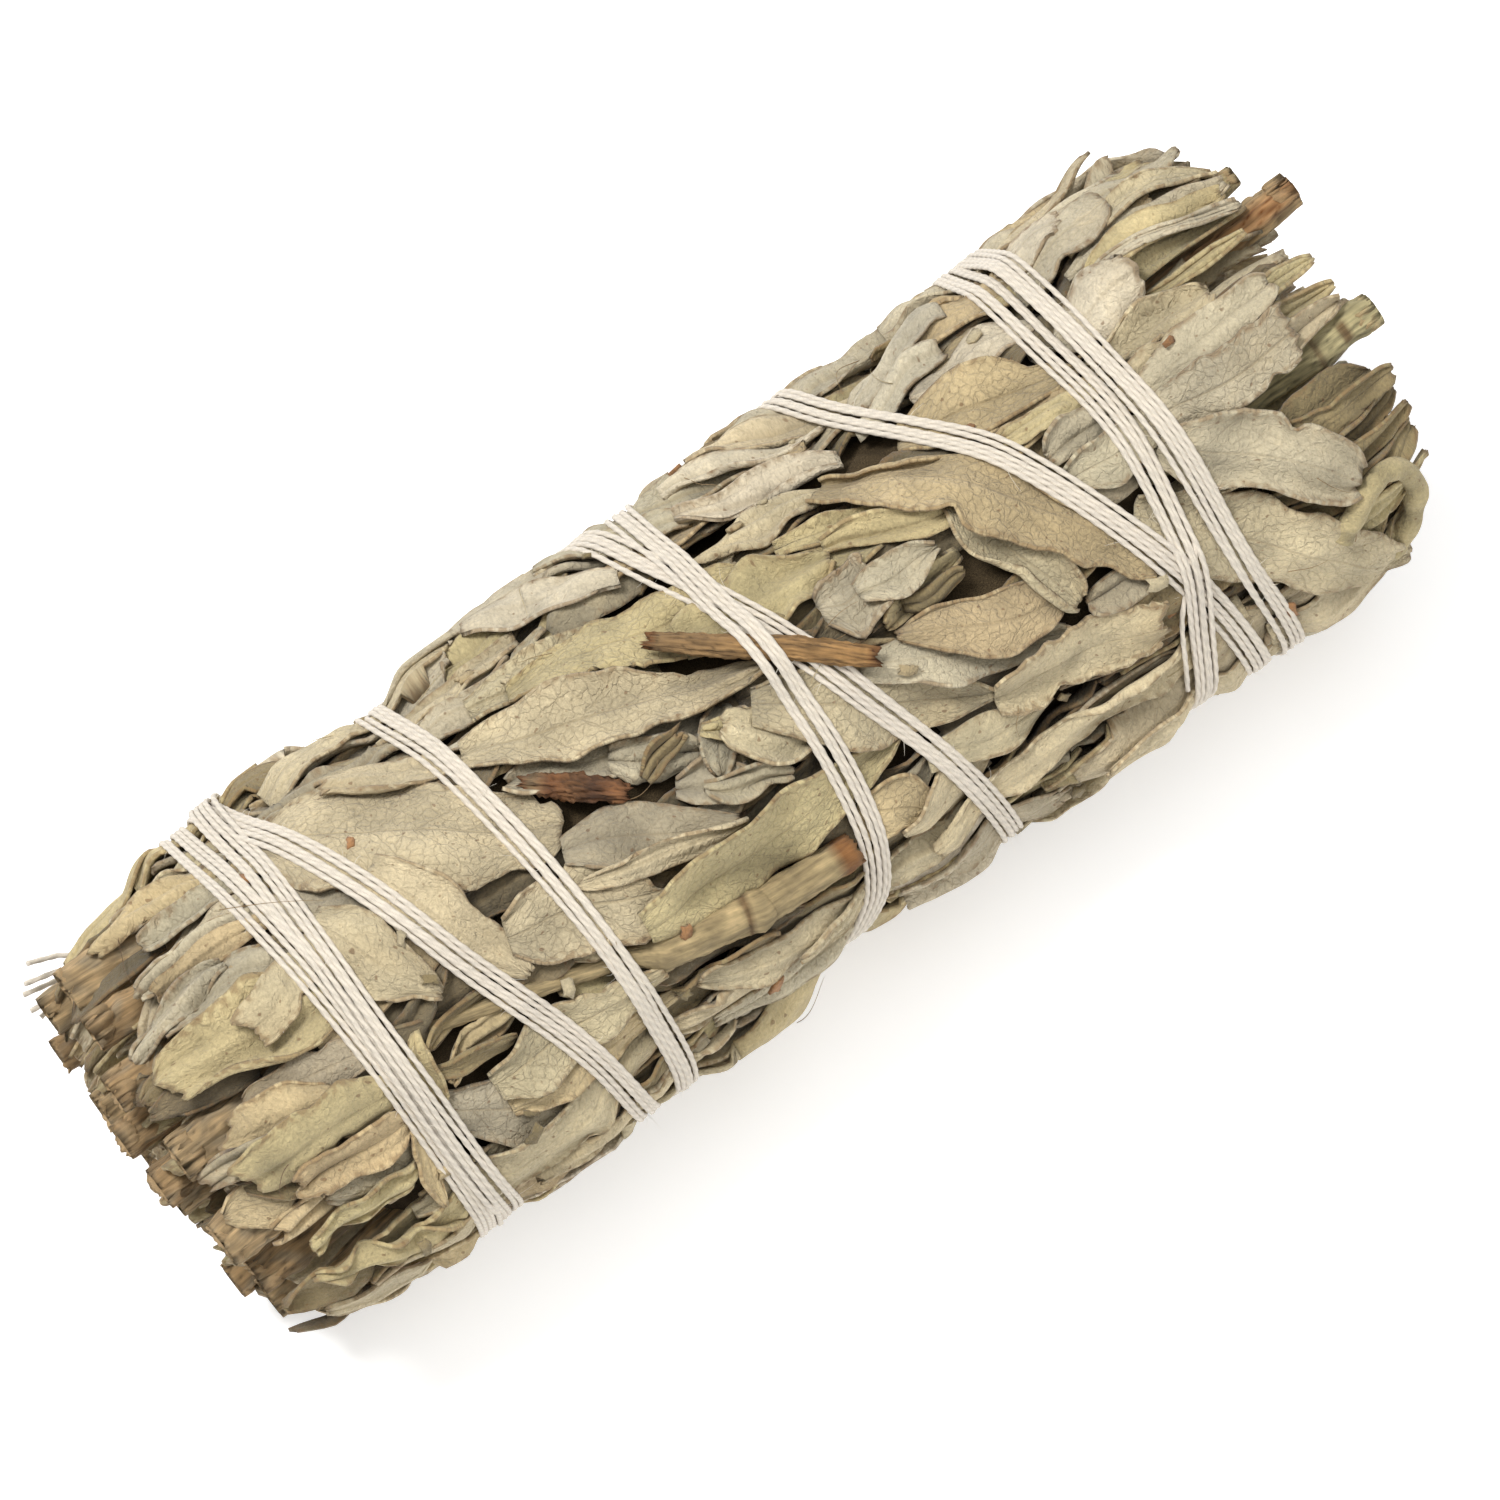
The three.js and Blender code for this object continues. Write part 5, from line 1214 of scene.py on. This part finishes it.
run, along, turn = seen_curve(HOOP, 70, 5)
centre = place(along, turn, LEAF_BASE + PROUD + 0.9 * np.sin(math.pi * run / run[-1]))
_, aside, _ = path_frame(centre, outward(turn))
w = np.linspace(-1, 1, 13)
hoop_waves = smooth_waves(end_draw, 5, 2.0, 6.0)
roll = HOOP_ROLL * (1 + 0.12 * hoop_waves(run[:, None] * 3, w[None] * 1.5))
bend = HOOP_CLOSURE * w
points = rings_round(centre, aside, outward(turn), roll * np.sin(bend), roll * np.cos(bend))
lengths = np.stack(np.meshgrid(run * 3, w * 2, indexing="ij"), axis=-1)
hoop_shade = 0.8 + 0.1 * hoop_waves(lengths[..., 0], lengths[..., 1])
hoop_colour = np.array(LEAF_TONES["y"]) * hoop_shade[..., None]
hoop_edge = np.abs(lengths[..., 1] / 2) ** 6
add_sheet(turn.mean(), points, hoop_colour, lengths * 0.1, hoop_edge, lengths, 0.3)


def build_sprig(number, parts):
    """One mesh of all the leaves of a sprig, thickened to the leaf's sheet."""
    faces, start = [], 0
    for grid, *_ in parts:
        faces.append(grid_faces(*grid.shape[:2], start=start))
        start += grid.shape[0] * grid.shape[1]
    points, colours, maps, edges, ribs = [
        np.concatenate([part[k].reshape(-1, size) for part in parts])
        for k, size in enumerate((3, 3, 2, 1, 2))
    ]
    veins = np.concatenate([np.full(edge.size, vein) for *_, edge, _, vein in parts])
    values = {"edge": edges[:, 0], "veined": veins, "lengthwise": ribs[:, 0], "sideways": ribs[:, 1]}
    piece = new_piece(f"leafy_sprig_{number}", points, np.concatenate(faces).tolist(), leaf_material,
                      np.clip(colours, 0.01, 0.9), maps, values)
    sheet = piece.modifiers.new("sheet", "SOLIDIFY")
    sheet.thickness = LEAF_SHEET * MM
    sheet.offset = 0
    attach(piece, "root")
    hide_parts(f"sprig_{number}")


for index, parts in enumerate(sprig_parts):
    build_sprig(index + 1, parts)

# Heart of the bunch: a core that fills it behind the leaves and is held by the outer ones pressed round it.
# Its near-black colour is painted shade, the deep shadow seen through the gaps between the leaves.
HEART_RADIUS = 13.2
HEART_ENDS = (3.5, 97.0)
HEART_ROWS, HEART_COLUMNS = 66, 72
heart_along = np.linspace(*HEART_ENDS, HEART_ROWS)
heart_turn = np.linspace(0, FULL_TURN, HEART_COLUMNS, endpoint=False)
heart_waves = smooth_waves(np.random.default_rng(3), 9, 3.0, 9.0)
along, turn = np.meshgrid(heart_along, heart_turn, indexing="ij")
inset = np.clip(np.minimum(along - HEART_ENDS[0], HEART_ENDS[1] - along) / 6, 0.0, 1)
heart_full = HEART_RADIUS + 0.8 * np.interp(along, bed_along, fullness)
heart_radius = heart_full * np.sqrt(inset) + 0.7 * heart_waves(along, turn * 14) * inset
heart_points = place(along, turn, heart_radius).reshape(-1, 3)
heart_faces = grid_faces(HEART_ROWS, HEART_COLUMNS, closed=True).tolist()
heart_material, heart_tree, heart_shader = new_material("leaf_litter", 0.95, 0.0)
litter = noise(heart_tree, None, 700.0, 5.0)
# Near-black colours of the heart: painted shade.
heart_shade_colour = mix_colour(
    heart_tree, "MIX", remap(heart_tree, litter.outputs["Fac"], 0.35, 0.7),
    (0.02, 0.013, 0.006, 1.0), (0.10, 0.07, 0.035, 1.0),
)
heart_tree.links.new(heart_shade_colour, heart_shader.inputs["Base Color"])
heart = new_piece("leaf_heart", heart_points, heart_faces, heart_material)
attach(heart, "root")

# Broken stem, bark scrap and twig: a peeled pale stem broken off in the leaves, a flake of rough bark
# stuck between two leaves, and a loose orange-brown twig caught under the thread.
BARK_SCRAP = [(34.5, -7.5, 1.2), (37.2, -4.6, 2), (39.8, -2, 1.3)]
ROD_SIDES = 40
ROD_STEP = 0.25
ROD_CAP = (0.75, 0.4, 0.1)


def build_rod(name, node, spots, resting, material, tones, roughness, ragged, flatness=1.0):
    """Rough rod through seen spots, ragged at both ends, with its tones set along it."""
    rod_draw = np.random.default_rng(len(name))
    ridges = smooth_waves(rod_draw, 6, 0.5, 1.6)
    path = np.array([(*on_face(along, across), thick) for along, across, thick in spots])
    places = place(path[:, 0], path[:, 1], resting + path[:, 2] / 2)
    steps = np.concatenate([[0], np.cumsum(np.linalg.norm(np.diff(places, axis=0), axis=1))])
    run = np.linspace(0, steps[-1], int(steps[-1] / ROD_STEP))
    centre = np.stack([np.interp(run, steps, places[:, k]) for k in range(3)], axis=-1)
    thick = np.interp(run, steps, path[:, 2])
    ahead, aside, up = path_frame(centre, outward(np.interp(run, steps, path[:, 1])))
    around = np.linspace(0, FULL_TURN, ROD_SIDES, endpoint=False)
    round_grid = np.tile(around, (len(run), 1))
    run_grid = np.repeat(run[:, None], ROD_SIDES, axis=1)
    uneven = ridges(2.0 * round_grid, 0.3 * run_grid) + 0.5 * ridges(5 * round_grid, 1.2 * run_grid + 9)
    cracks = smooth_waves(rod_draw, 7, 0.45, 1.0)
    groove = cracks(np.cos(round_grid) * 0.9 * thick[:, None] + 0.04 * run_grid,
                    np.sin(round_grid) * 0.9 * thick[:, None] + 0.10 * run_grid)
    groove = np.clip(1 - np.abs(groove) / 0.4, 0, 1) ** 1.5
    size = 0.5 * thick[:, None] * (1 + roughness * uneven) * (1 - 0.9 * roughness * groove)
    points = rings_round(centre, aside, up, size * np.cos(around), flatness * size * np.sin(around))
    for row, sign in ((0, -1), (-1, 1)):
        points[row] += ahead[row] * (sign * ragged * np.abs(ridges(around * 4, 11 + 0 * around)))[:, None]
    caps = []
    for row in (0, -1):
        middle = points[row].mean(axis=0)
        caps.append([middle + (points[row] - middle) * inset for inset in ROD_CAP])
    rings = caps[0][::-1] + list(points) + caps[1]
    cap_rings = len(ROD_CAP)
    cut = np.zeros((len(rings), ROD_SIDES))
    cut[:cap_rings + 1] = cut[-cap_rings - 1:] = 1
    lengthwise = np.pad(run, cap_rings, mode="edge")
    flat_map = np.stack([np.repeat(lengthwise * 0.1, ROD_SIDES),
                         np.tile(around / FULL_TURN * thick.mean() * 0.3, len(rings))], axis=-1)
    faces = [face[::-1] for face in tube_faces(len(rings), ROD_SIDES)]
    where = np.repeat(lengthwise / steps[-1], ROD_SIDES)
    tone_places, tone_colours = zip(*tones)
    colours = np.stack([np.interp(where, tone_places, part) for part in zip(*tone_colours)], axis=-1)
    groove = np.pad(groove, ((cap_rings, cap_rings), (0, 0)))
    colours *= 1 - min(0.65, 6 * roughness) * groove.reshape(-1, 1)
    piece = new_piece(name, np.concatenate(rings), faces, material, colours, flat_map, {"cut": cut.ravel()})
    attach(piece, "root")
    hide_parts(node)


def rest_on_skin(spots):
    """Radius at which a piece lies a little sunk into the leaves under its spots."""
    places = [on_face(along, across) for along, across, _ in spots]
    return max(float(skin_radius(along, turn)) for along, turn in places) - 0.4


pale_stem_material = make_stem_material("peeled_stem", (0.34, 0.17, 0.06, 1.0), 0.75)
twig_material = make_stem_material("twig_bark", (0.30, 0.13, 0.04, 1.0), 0.8)
bark_material = make_stem_material("rough_bark", (0.30, 0.13, 0.05, 1.0), 1.0)
PALE, RING, TORN = (0.58, 0.44, 0.225), (0.20, 0.11, 0.045), (0.38, 0.17, 0.055)
PALE_TONES = [
    (0, PALE), (0.715, PALE), (0.73, RING), (0.746, PALE), (0.945, PALE), (0.97, TORN), (1, TORN),
]
TWIG_TONES = [(0, (0.44, 0.27, 0.12)), (0.5, (0.54, 0.315, 0.125)), (1, (0.60, 0.33, 0.12))]
BARK_TONES = [
    (0, (0.48, 0.34, 0.18)), (0.25, (0.36, 0.15, 0.055)), (0.5, (0.42, 0.2, 0.08)),
    (0.7, (0.2, 0.09, 0.04)), (1, (0.4, 0.18, 0.07)),
]
build_rod("pale_broken_stem", "broken_stem", BROKEN_STEM, BROKEN_BED, pale_stem_material,
          PALE_TONES, roughness=0.045, ragged=0.5)
build_rod("orange_twig", "loose_twig", LOOSE_TWIG, TWIG_BED, twig_material,
          TWIG_TONES, roughness=0.11, ragged=0.9, flatness=0.8)
build_rod("bark_flake", "bark_scrap", BARK_SCRAP, rest_on_skin(BARK_SCRAP), bark_material,
          BARK_TONES, roughness=0.3, ragged=0.7, flatness=0.8)

# Cotton thread: five strands of two-ply cream cotton, wound side by side as one flat band round the bunch
# and back, then knotted at the back with the cut ends left hanging past the butt.
STRANDS = 5
STRAND_PITCH = 0.43
STRAND_RADIUS = 0.22
STRAND_SIDES = 8
LOWEST_STRAND = 0.3
TWIST = 1.3
COTTON_CREAM = np.array([0.72, 0.645, 0.535])
thread_draw = np.random.default_rng(23)

# The third turn runs under the twig and the seventh over it. The band is lifted over the broken stem too,
# and over its own earlier turns.
TURN_UNDER_TWIG, TURN_OVER_TWIG = 2, 6
TWIG_CLEARANCE = 2.2
OVER_TWIG, UNDER_TWIG, OVER_STEM, OVER_THREAD = 1.95, -0.1, 0.25, 0.34
lifted = route_radius.copy()
twig_along, twig_turn = np.array([on_face(along, across) for along, across, _ in LOOSE_TWIG]).T
beside_twig = (route_along > LOOSE_TWIG[0][0] - 0.3) & (route_along < LOOSE_TWIG[-1][0] + 0.3)
twig_turn = np.interp(route_along, twig_along, twig_turn)
for thread_turn in (TURN_UNDER_TWIG, TURN_OVER_TWIG):
    away = np.abs(route_turn - thread_turn * FULL_TURN - twig_turn) * ARC_RADIUS
    near = (away < TWIG_CLEARANCE) & beside_twig
    if thread_turn == TURN_OVER_TWIG:
        lifted[near] = TWIG_BED + OVER_TWIG
    else:
        lifted[near] = np.minimum(lifted[near], TWIG_BED + UNDER_TWIG)
for along, turn, thick in zip(*path_between(BROKEN_STEM)):
    near = np.hypot(arc_apart(route_arc, turn * ARC_RADIUS), route_along - along) < 1.0
    lifted[near] = np.maximum(lifted[near], BROKEN_BED + thick + OVER_STEM)
ONE_TURN_STEPS, CROSSING_STEPS = 300, 4
for i in range(0, len(route_turn), CROSSING_STEPS):
    earlier = slice(0, max(0, i - ONE_TURN_STEPS))
    apart = arc_apart(route_arc[earlier], route_arc[i])
    near = np.hypot(apart, route_along[earlier] - route_along[i]) < 1.5
    if near.any():
        here = slice(i, i + CROSSING_STEPS)
        lifted[here] = np.maximum(lifted[here], lifted[earlier][near].max() + OVER_THREAD)
lifted = np.maximum(lifted, blurred(lifted, 8))
lifted = blurred(lifted, 5)

thread_material, thread_tree, thread_shader = new_material("cotton_thread", 0.9, 0.25)
thread_tint = attribute(thread_tree, "tint", "Color")
fibres = noise(thread_tree, surface_map(thread_tree), 6.0, 4.0, 0.7).outputs["Fac"]
thread_colour = mix_colour(
    thread_tree, "MULTIPLY", 1.0, thread_tint, remap(thread_tree, fibres, 0.3, 0.7, 0.86, 1.06)
)
finish_surface(thread_tree, thread_shader, thread_colour, fibres, 0.5, 0.00008)


def strand_tube(centre, out, thickness):
    """Twisted two-ply strand along a row of points: points, faces, colours with painted shade between the
    plies, and flat map.
    """
    _, aside, up = path_frame(centre, out)
    run = np.cumsum(np.linalg.norm(np.gradient(centre, axis=0), axis=1))[:, None]
    around = np.linspace(0, FULL_TURN, STRAND_SIDES, endpoint=False)
    ply = np.cos(2 * (around - FULL_TURN * run / (2 * TWIST)))
    size = thickness * (1 + 0.1 * ply)
    points = rings_round(centre, aside, up, size * np.cos(around), size * np.sin(around))
    # Colour darkened in the grooves between the two plies: painted shade.
    shade = 0.80 + 0.20 * np.clip(0.5 + 0.8 * ply, 0, 1)
    colour = COTTON_CREAM * shade[..., None]
    lay = np.stack([run + 0 * around, 3 * around / FULL_TURN + 3 * run / TWIST], axis=-1)
    faces = [face[::-1] for face in tube_faces(len(centre), STRAND_SIDES)]
    return points.reshape(-1, 3), faces, colour.reshape(-1, 3), lay.reshape(-1, 2)


slant = np.gradient(route_along, route_arc)
sideways_along = 1 / np.sqrt(1 + slant**2)
sideways_arc = -slant / np.sqrt(1 + slant**2)
strand_parts = [[] for _ in range(STRANDS)]
spread = smooth_waves(thread_draw, 4, 30.0, 90.0)
for strand in range(STRANDS):
    wander = smooth_waves(thread_draw, 5, 16.0, 60.0)
    fan = 1.08 + 0.16 * spread(route_arc, 0 * route_arc)
    offset = (strand - (STRANDS - 1) / 2) * STRAND_PITCH * fan + 0.12 * wander(route_arc, 0 * route_arc)
    along = route_along + offset * sideways_along
    turn = route_turn + offset * sideways_arc / ARC_RADIUS
    ground = blurred(skin_radius(along, turn), 4)
    radius = np.maximum(lifted - 0.1, ground - 0.05) + 0.08 * wander(0.7 * route_arc, 50 + 0 * route_arc)
    centre = place(along, turn, blurred(radius, 3) + STRAND_RADIUS * 0.6)
    centre[:, 2] = np.maximum(centre[:, 2], LOWEST_STRAND)
    strand_parts[strand].append(strand_tube(centre, outward(turn), STRAND_RADIUS))

# The knot is drawn tight at the back, and six cut tails run from it and fan out past the butt.
KNOT_HEIGHT = 0.75
KNOT_LOOPS = [(0, 0.36), (2, 0.46), (4, 0.56)]
knot_turn = FACE_LEAN + KNOT_TURN
knot_out = outward(np.array(knot_turn))
knot_round = np.array([0, -math.cos(knot_turn), -math.sin(knot_turn)])
knot_radius = skin_radius(KNOT_ALONG, knot_turn) + KNOT_HEIGHT
knot_centre = place(np.array(KNOT_ALONG), np.array(knot_turn), knot_radius)
loop = np.linspace(0, FULL_TURN, 130)
for strand, size in KNOT_LOOPS:
    curve = knot_centre + (size * (np.sin(loop) + 2 * np.sin(2 * loop)))[:, None] * np.array([1.0, 0, 0])
    curve = curve + (size * (np.cos(loop) - 2 * np.cos(2 * loop)))[:, None] * knot_round
    curve = curve - (0.45 * np.sin(3 * loop))[:, None] * knot_out
    strand_parts[strand].append(strand_tube(curve, np.tile(knot_out, (len(loop), 1)), STRAND_RADIUS))

# Where each tail ends: along, degrees from the middle of the seen face, radius.
TAIL_ENDS = [
    (-3.0, -133, 18.2), (-3.9, -129, 18.6), (-4.3, -125, 18.4), (-4.1, -121, 18.6), (-3.6, -117, 18.4),
    (-2.6, -111, 18.6),
]
for index, (end_along, end_degrees, end_radius) in enumerate(TAIL_ENDS):
    run = np.linspace(0, 1, 110)
    along = KNOT_ALONG - 0.5 + (end_along - KNOT_ALONG + 0.5) * run
    turn = knot_turn + 0.02 * (index - 2.5) + (FACE_LEAN + math.radians(end_degrees) - knot_turn) * run**2.5
    turn = turn + 0.012 * np.sin(8 * run + 2 * index)
    skin = blurred(skin_radius(along, turn), 6) + 0.3
    radius = skin + (end_radius + end_taper(along) - skin) * np.clip((run - 0.45) / 0.4, 0, 1)
    centre = place(along, turn, radius + 0.15 * np.sin(9 * run + index))
    strand_parts[index % STRANDS].append(strand_tube(centre, outward(turn), STRAND_RADIUS * 0.95))

# One strand has slipped out of the band near the tips.
LOOSE_STRAND = [(86.4, 8.2), (85, 10.5), (82.5, 12.5), (80.3, 15.2), (78.2, 17.6)]
_, along, turn = seen_curve(LOOSE_STRAND, 90, 8)
centre = place(along, turn, blurred(skin_radius(along, turn), 8) + 0.45)
strand_parts[4].append(strand_tube(centre, outward(turn), STRAND_RADIUS * 0.9))


def build_strand(number, parts):
    """One mesh of a strand's winding with its knot loops and tails."""
    faces, start = [], 0
    for points, part_faces, *_ in parts:
        faces += [[corner + start for corner in face] for face in part_faces]
        start += len(points)
    points, _, colours, lays = zip(*parts)
    piece = new_piece(f"cotton_strand_{number}", np.concatenate(points), faces, thread_material,
                      np.concatenate(colours), np.concatenate(lays))
    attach(piece, "root")
    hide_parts("thread")


for index, parts in enumerate(strand_parts):
    build_strand(index + 1, parts)

# Hairs: loose cotton fibres stand off the strands, and fine dry plant hairs lie caught on the leaves.
# They are much thinner than a strand, and only cling where they touch.
FUZZ_COUNT = 900
PLANT_HAIRS = 46
HAIR_SIDES = 3
HAIR_SIDE = np.array([0.31, 0.55, 0.77])
LOWEST_HAIR = 0.1
FUZZ_WHITE = (0.8, 0.74, 0.62)
HAIR_TONES = [(0.34, 0.22, 0.10), (0.56, 0.45, 0.25), (0.2, 0.12, 0.06)]
hair_draw = np.random.default_rng(31)


def hair_tube(path, thickness):
    """Three-sided tapered hair along a few points."""
    _, aside, up = path_frame(path, HAIR_SIDE)
    around = np.linspace(0, FULL_TURN, HAIR_SIDES, endpoint=False)
    size = thickness * np.linspace(1, 0.35, len(path))[:, None]
    return rings_round(path, aside, up, size * np.cos(around), size * np.sin(around)).reshape(-1, 3)


def build_hairs(name, material, paths, thickness, colours):
    points = np.concatenate([hair_tube(path, thickness) for path in paths])
    faces, tints, start = [], [], 0
    for path, colour in zip(paths, colours):
        faces += grid_faces(len(path), HAIR_SIDES, closed=True, start=start).tolist()
        tints.append(np.tile(colour, (HAIR_SIDES * len(path), 1)))
        start += HAIR_SIDES * len(path)
    piece = new_piece(name, points, faces, material, np.concatenate(tints), points[:, :2] * 0.2)
    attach(piece, "root")


fuzz_paths = []
for _ in range(FUZZ_COUNT):
    strand_points = strand_parts[hair_draw.integers(STRANDS)][0][0]
    ring = hair_draw.integers(10, len(strand_points) // STRAND_SIDES - 10) * STRAND_SIDES
    middle = strand_points[ring:ring + STRAND_SIDES].mean(axis=0)
    start = strand_points[ring + hair_draw.integers(STRAND_SIDES)]
    heading = (start - middle) / np.linalg.norm(start - middle) + hair_draw.normal(0, 0.9, 3)
    heading /= np.linalg.norm(heading)
    curl = hair_draw.normal(0, 0.5, 3)
    t = np.linspace(0, hair_draw.uniform(0.4, 1.3), 6)[:, None]
    path = start + heading * t + curl * t**2
    path[:, 2] = np.maximum(path[:, 2], LOWEST_HAIR)
    fuzz_paths.append(path)
build_hairs("cotton_fuzz", thread_material, fuzz_paths, 0.022, [FUZZ_WHITE] * FUZZ_COUNT)

plant_paths, plant_colours = [], []
for _ in range(PLANT_HAIRS):
    along = hair_draw.uniform(2, 98)
    turn = FACE_LEAN + hair_draw.uniform(0, FULL_TURN)
    heading = hair_draw.uniform(0, FULL_TURN)
    t = np.linspace(0, hair_draw.uniform(1.5, 5), 14)
    bend = hair_draw.uniform(-0.25, 0.25)
    spots_along = along + t * np.cos(heading + bend * t)
    spots_turn = turn + t * np.sin(heading + bend * t) / ARC_RADIUS
    skin = blurred(skin_radius(spots_along, spots_turn), 2)
    path = place(spots_along, spots_turn, skin + 0.25 + 0.3 * np.sin(math.pi * t / t[-1]))
    path[:, 2] = np.maximum(path[:, 2], LOWEST_HAIR)
    plant_paths.append(path)
    plant_colours.append(HAIR_TONES[hair_draw.integers(3)])

# One long hair crosses the thread near the butt.
LONG_HAIR = [(9.6, -10.9), (13.4, -9.1), (17.0, -6.9)]
_, along, turn = seen_curve(LONG_HAIR, 24, 3)
plant_paths.append(place(along, turn, skin_radius(along, turn).max() + 1.1 + 0 * along))
plant_colours.append(HAIR_TONES[0])
build_hairs("plant_hairs", leaf_material, plant_paths, 0.045, plant_colours)

# Picture: the bunch lies on a white table under large soft lamps and is seen from nearly overhead.
# The camera stands well off, with a long lens.
TABLE_HALF = 3
VIEW_AZIMUTH = math.radians(-36.97)
VIEW_ELEVATION = math.radians(76.57)
VIEW_DISTANCE = 600.0
VIEW_LENS = 192.9
PICTURE_SHIFT = (-0.61, -2.29)
right = Vector((math.cos(VIEW_AZIMUTH), math.sin(VIEW_AZIMUTH), 0))
level_back = Vector((math.sin(VIEW_AZIMUTH), -math.cos(VIEW_AZIMUTH), 0))
back = level_back * math.cos(VIEW_ELEVATION) + Vector((0, 0, math.sin(VIEW_ELEVATION)))
above = back.cross(right)
aim = Vector((-0.3, SIDE_SHIFT, AXIS_HEIGHT))
aim += Vector((0, -math.sin(FACE_LEAN), math.cos(FACE_LEAN))) * EYE_DEPTH
aim += right * PICTURE_SHIFT[0] + above * PICTURE_SHIFT[1]
camera = bpy.data.objects.new("camera", bpy.data.cameras.new("camera"))
camera.data.lens = VIEW_LENS
camera.data.sensor_width = 36.0
camera.location = (aim + back * VIEW_DISTANCE) * MM
camera.rotation_mode = "QUATERNION"
camera.rotation_quaternion = (-back).to_track_quat("-Z", "Y")
camera.data.clip_start = 0.01
camera.data.clip_end = 10
bpy.context.scene.collection.objects.link(camera)
bpy.context.scene.camera = camera

table_mesh = bpy.data.meshes.new("table")
table_corners = [(x * TABLE_HALF, y * TABLE_HALF, 0) for x, y in ((-1, -1), (1, -1), (1, 1), (-1, 1))]
table_mesh.from_pydata(table_corners, [], [(0, 1, 2, 3)])
table_material, table_tree, table_shader = new_material("white_table", 0.9, 0.0)
paper = noise(table_tree, None, 40.0, 3.0)
table_colour = mix_colour(
    table_tree, "MIX", paper.outputs["Fac"], (0.93, 0.93, 0.93, 1.0), (0.95, 0.95, 0.95, 1.0)
)
table_tree.links.new(table_colour, table_shader.inputs["Base Color"])
table_tree.links.new(table_colour, table_shader.inputs["Emission Color"])
table_shader.inputs["Emission Strength"].default_value = 0.36
table_mesh.materials.append(table_material)
table = bpy.data.objects.new("table", table_mesh)
bpy.context.scene.collection.objects.link(table)

world = bpy.data.worlds.new("studio")
world.use_nodes = True
world.node_tree.nodes["Background"].inputs["Color"].default_value = (1.0, 1.0, 1.0, 1.0)
world.node_tree.nodes["Background"].inputs["Strength"].default_value = 0.33
bpy.context.scene.world = world


def soft_lamp(name, place_m, size, power):
    """Round lamp aimed at the bunch, with its place and size in metres."""
    lamp = bpy.data.lights.new(name, "AREA")
    lamp.shape = "DISK"
    lamp.size = size
    lamp.energy = power
    lamp_object = bpy.data.objects.new(name, lamp)
    lamp_object.location = place_m
    aim_m = Vector((0, 0, AXIS_HEIGHT * MM))
    lamp_object.rotation_mode = "QUATERNION"
    lamp_object.rotation_quaternion = (aim_m - Vector(place_m)).to_track_quat("-Z", "Y")
    bpy.context.scene.collection.objects.link(lamp_object)


soft_lamp("key_lamp", above * 0.34 - right * 0.36 + back * 0.8, 0.26, 7.4)
soft_lamp("top_lamp", (0.1, 0.05, 0.9), 0.7, 3.0)
soft_lamp("fill_lamp", right * 0.5 - above * 0.45 + back * 0.6, 0.5, 2.2)
bpy.context.scene.view_settings.view_transform = "Standard"
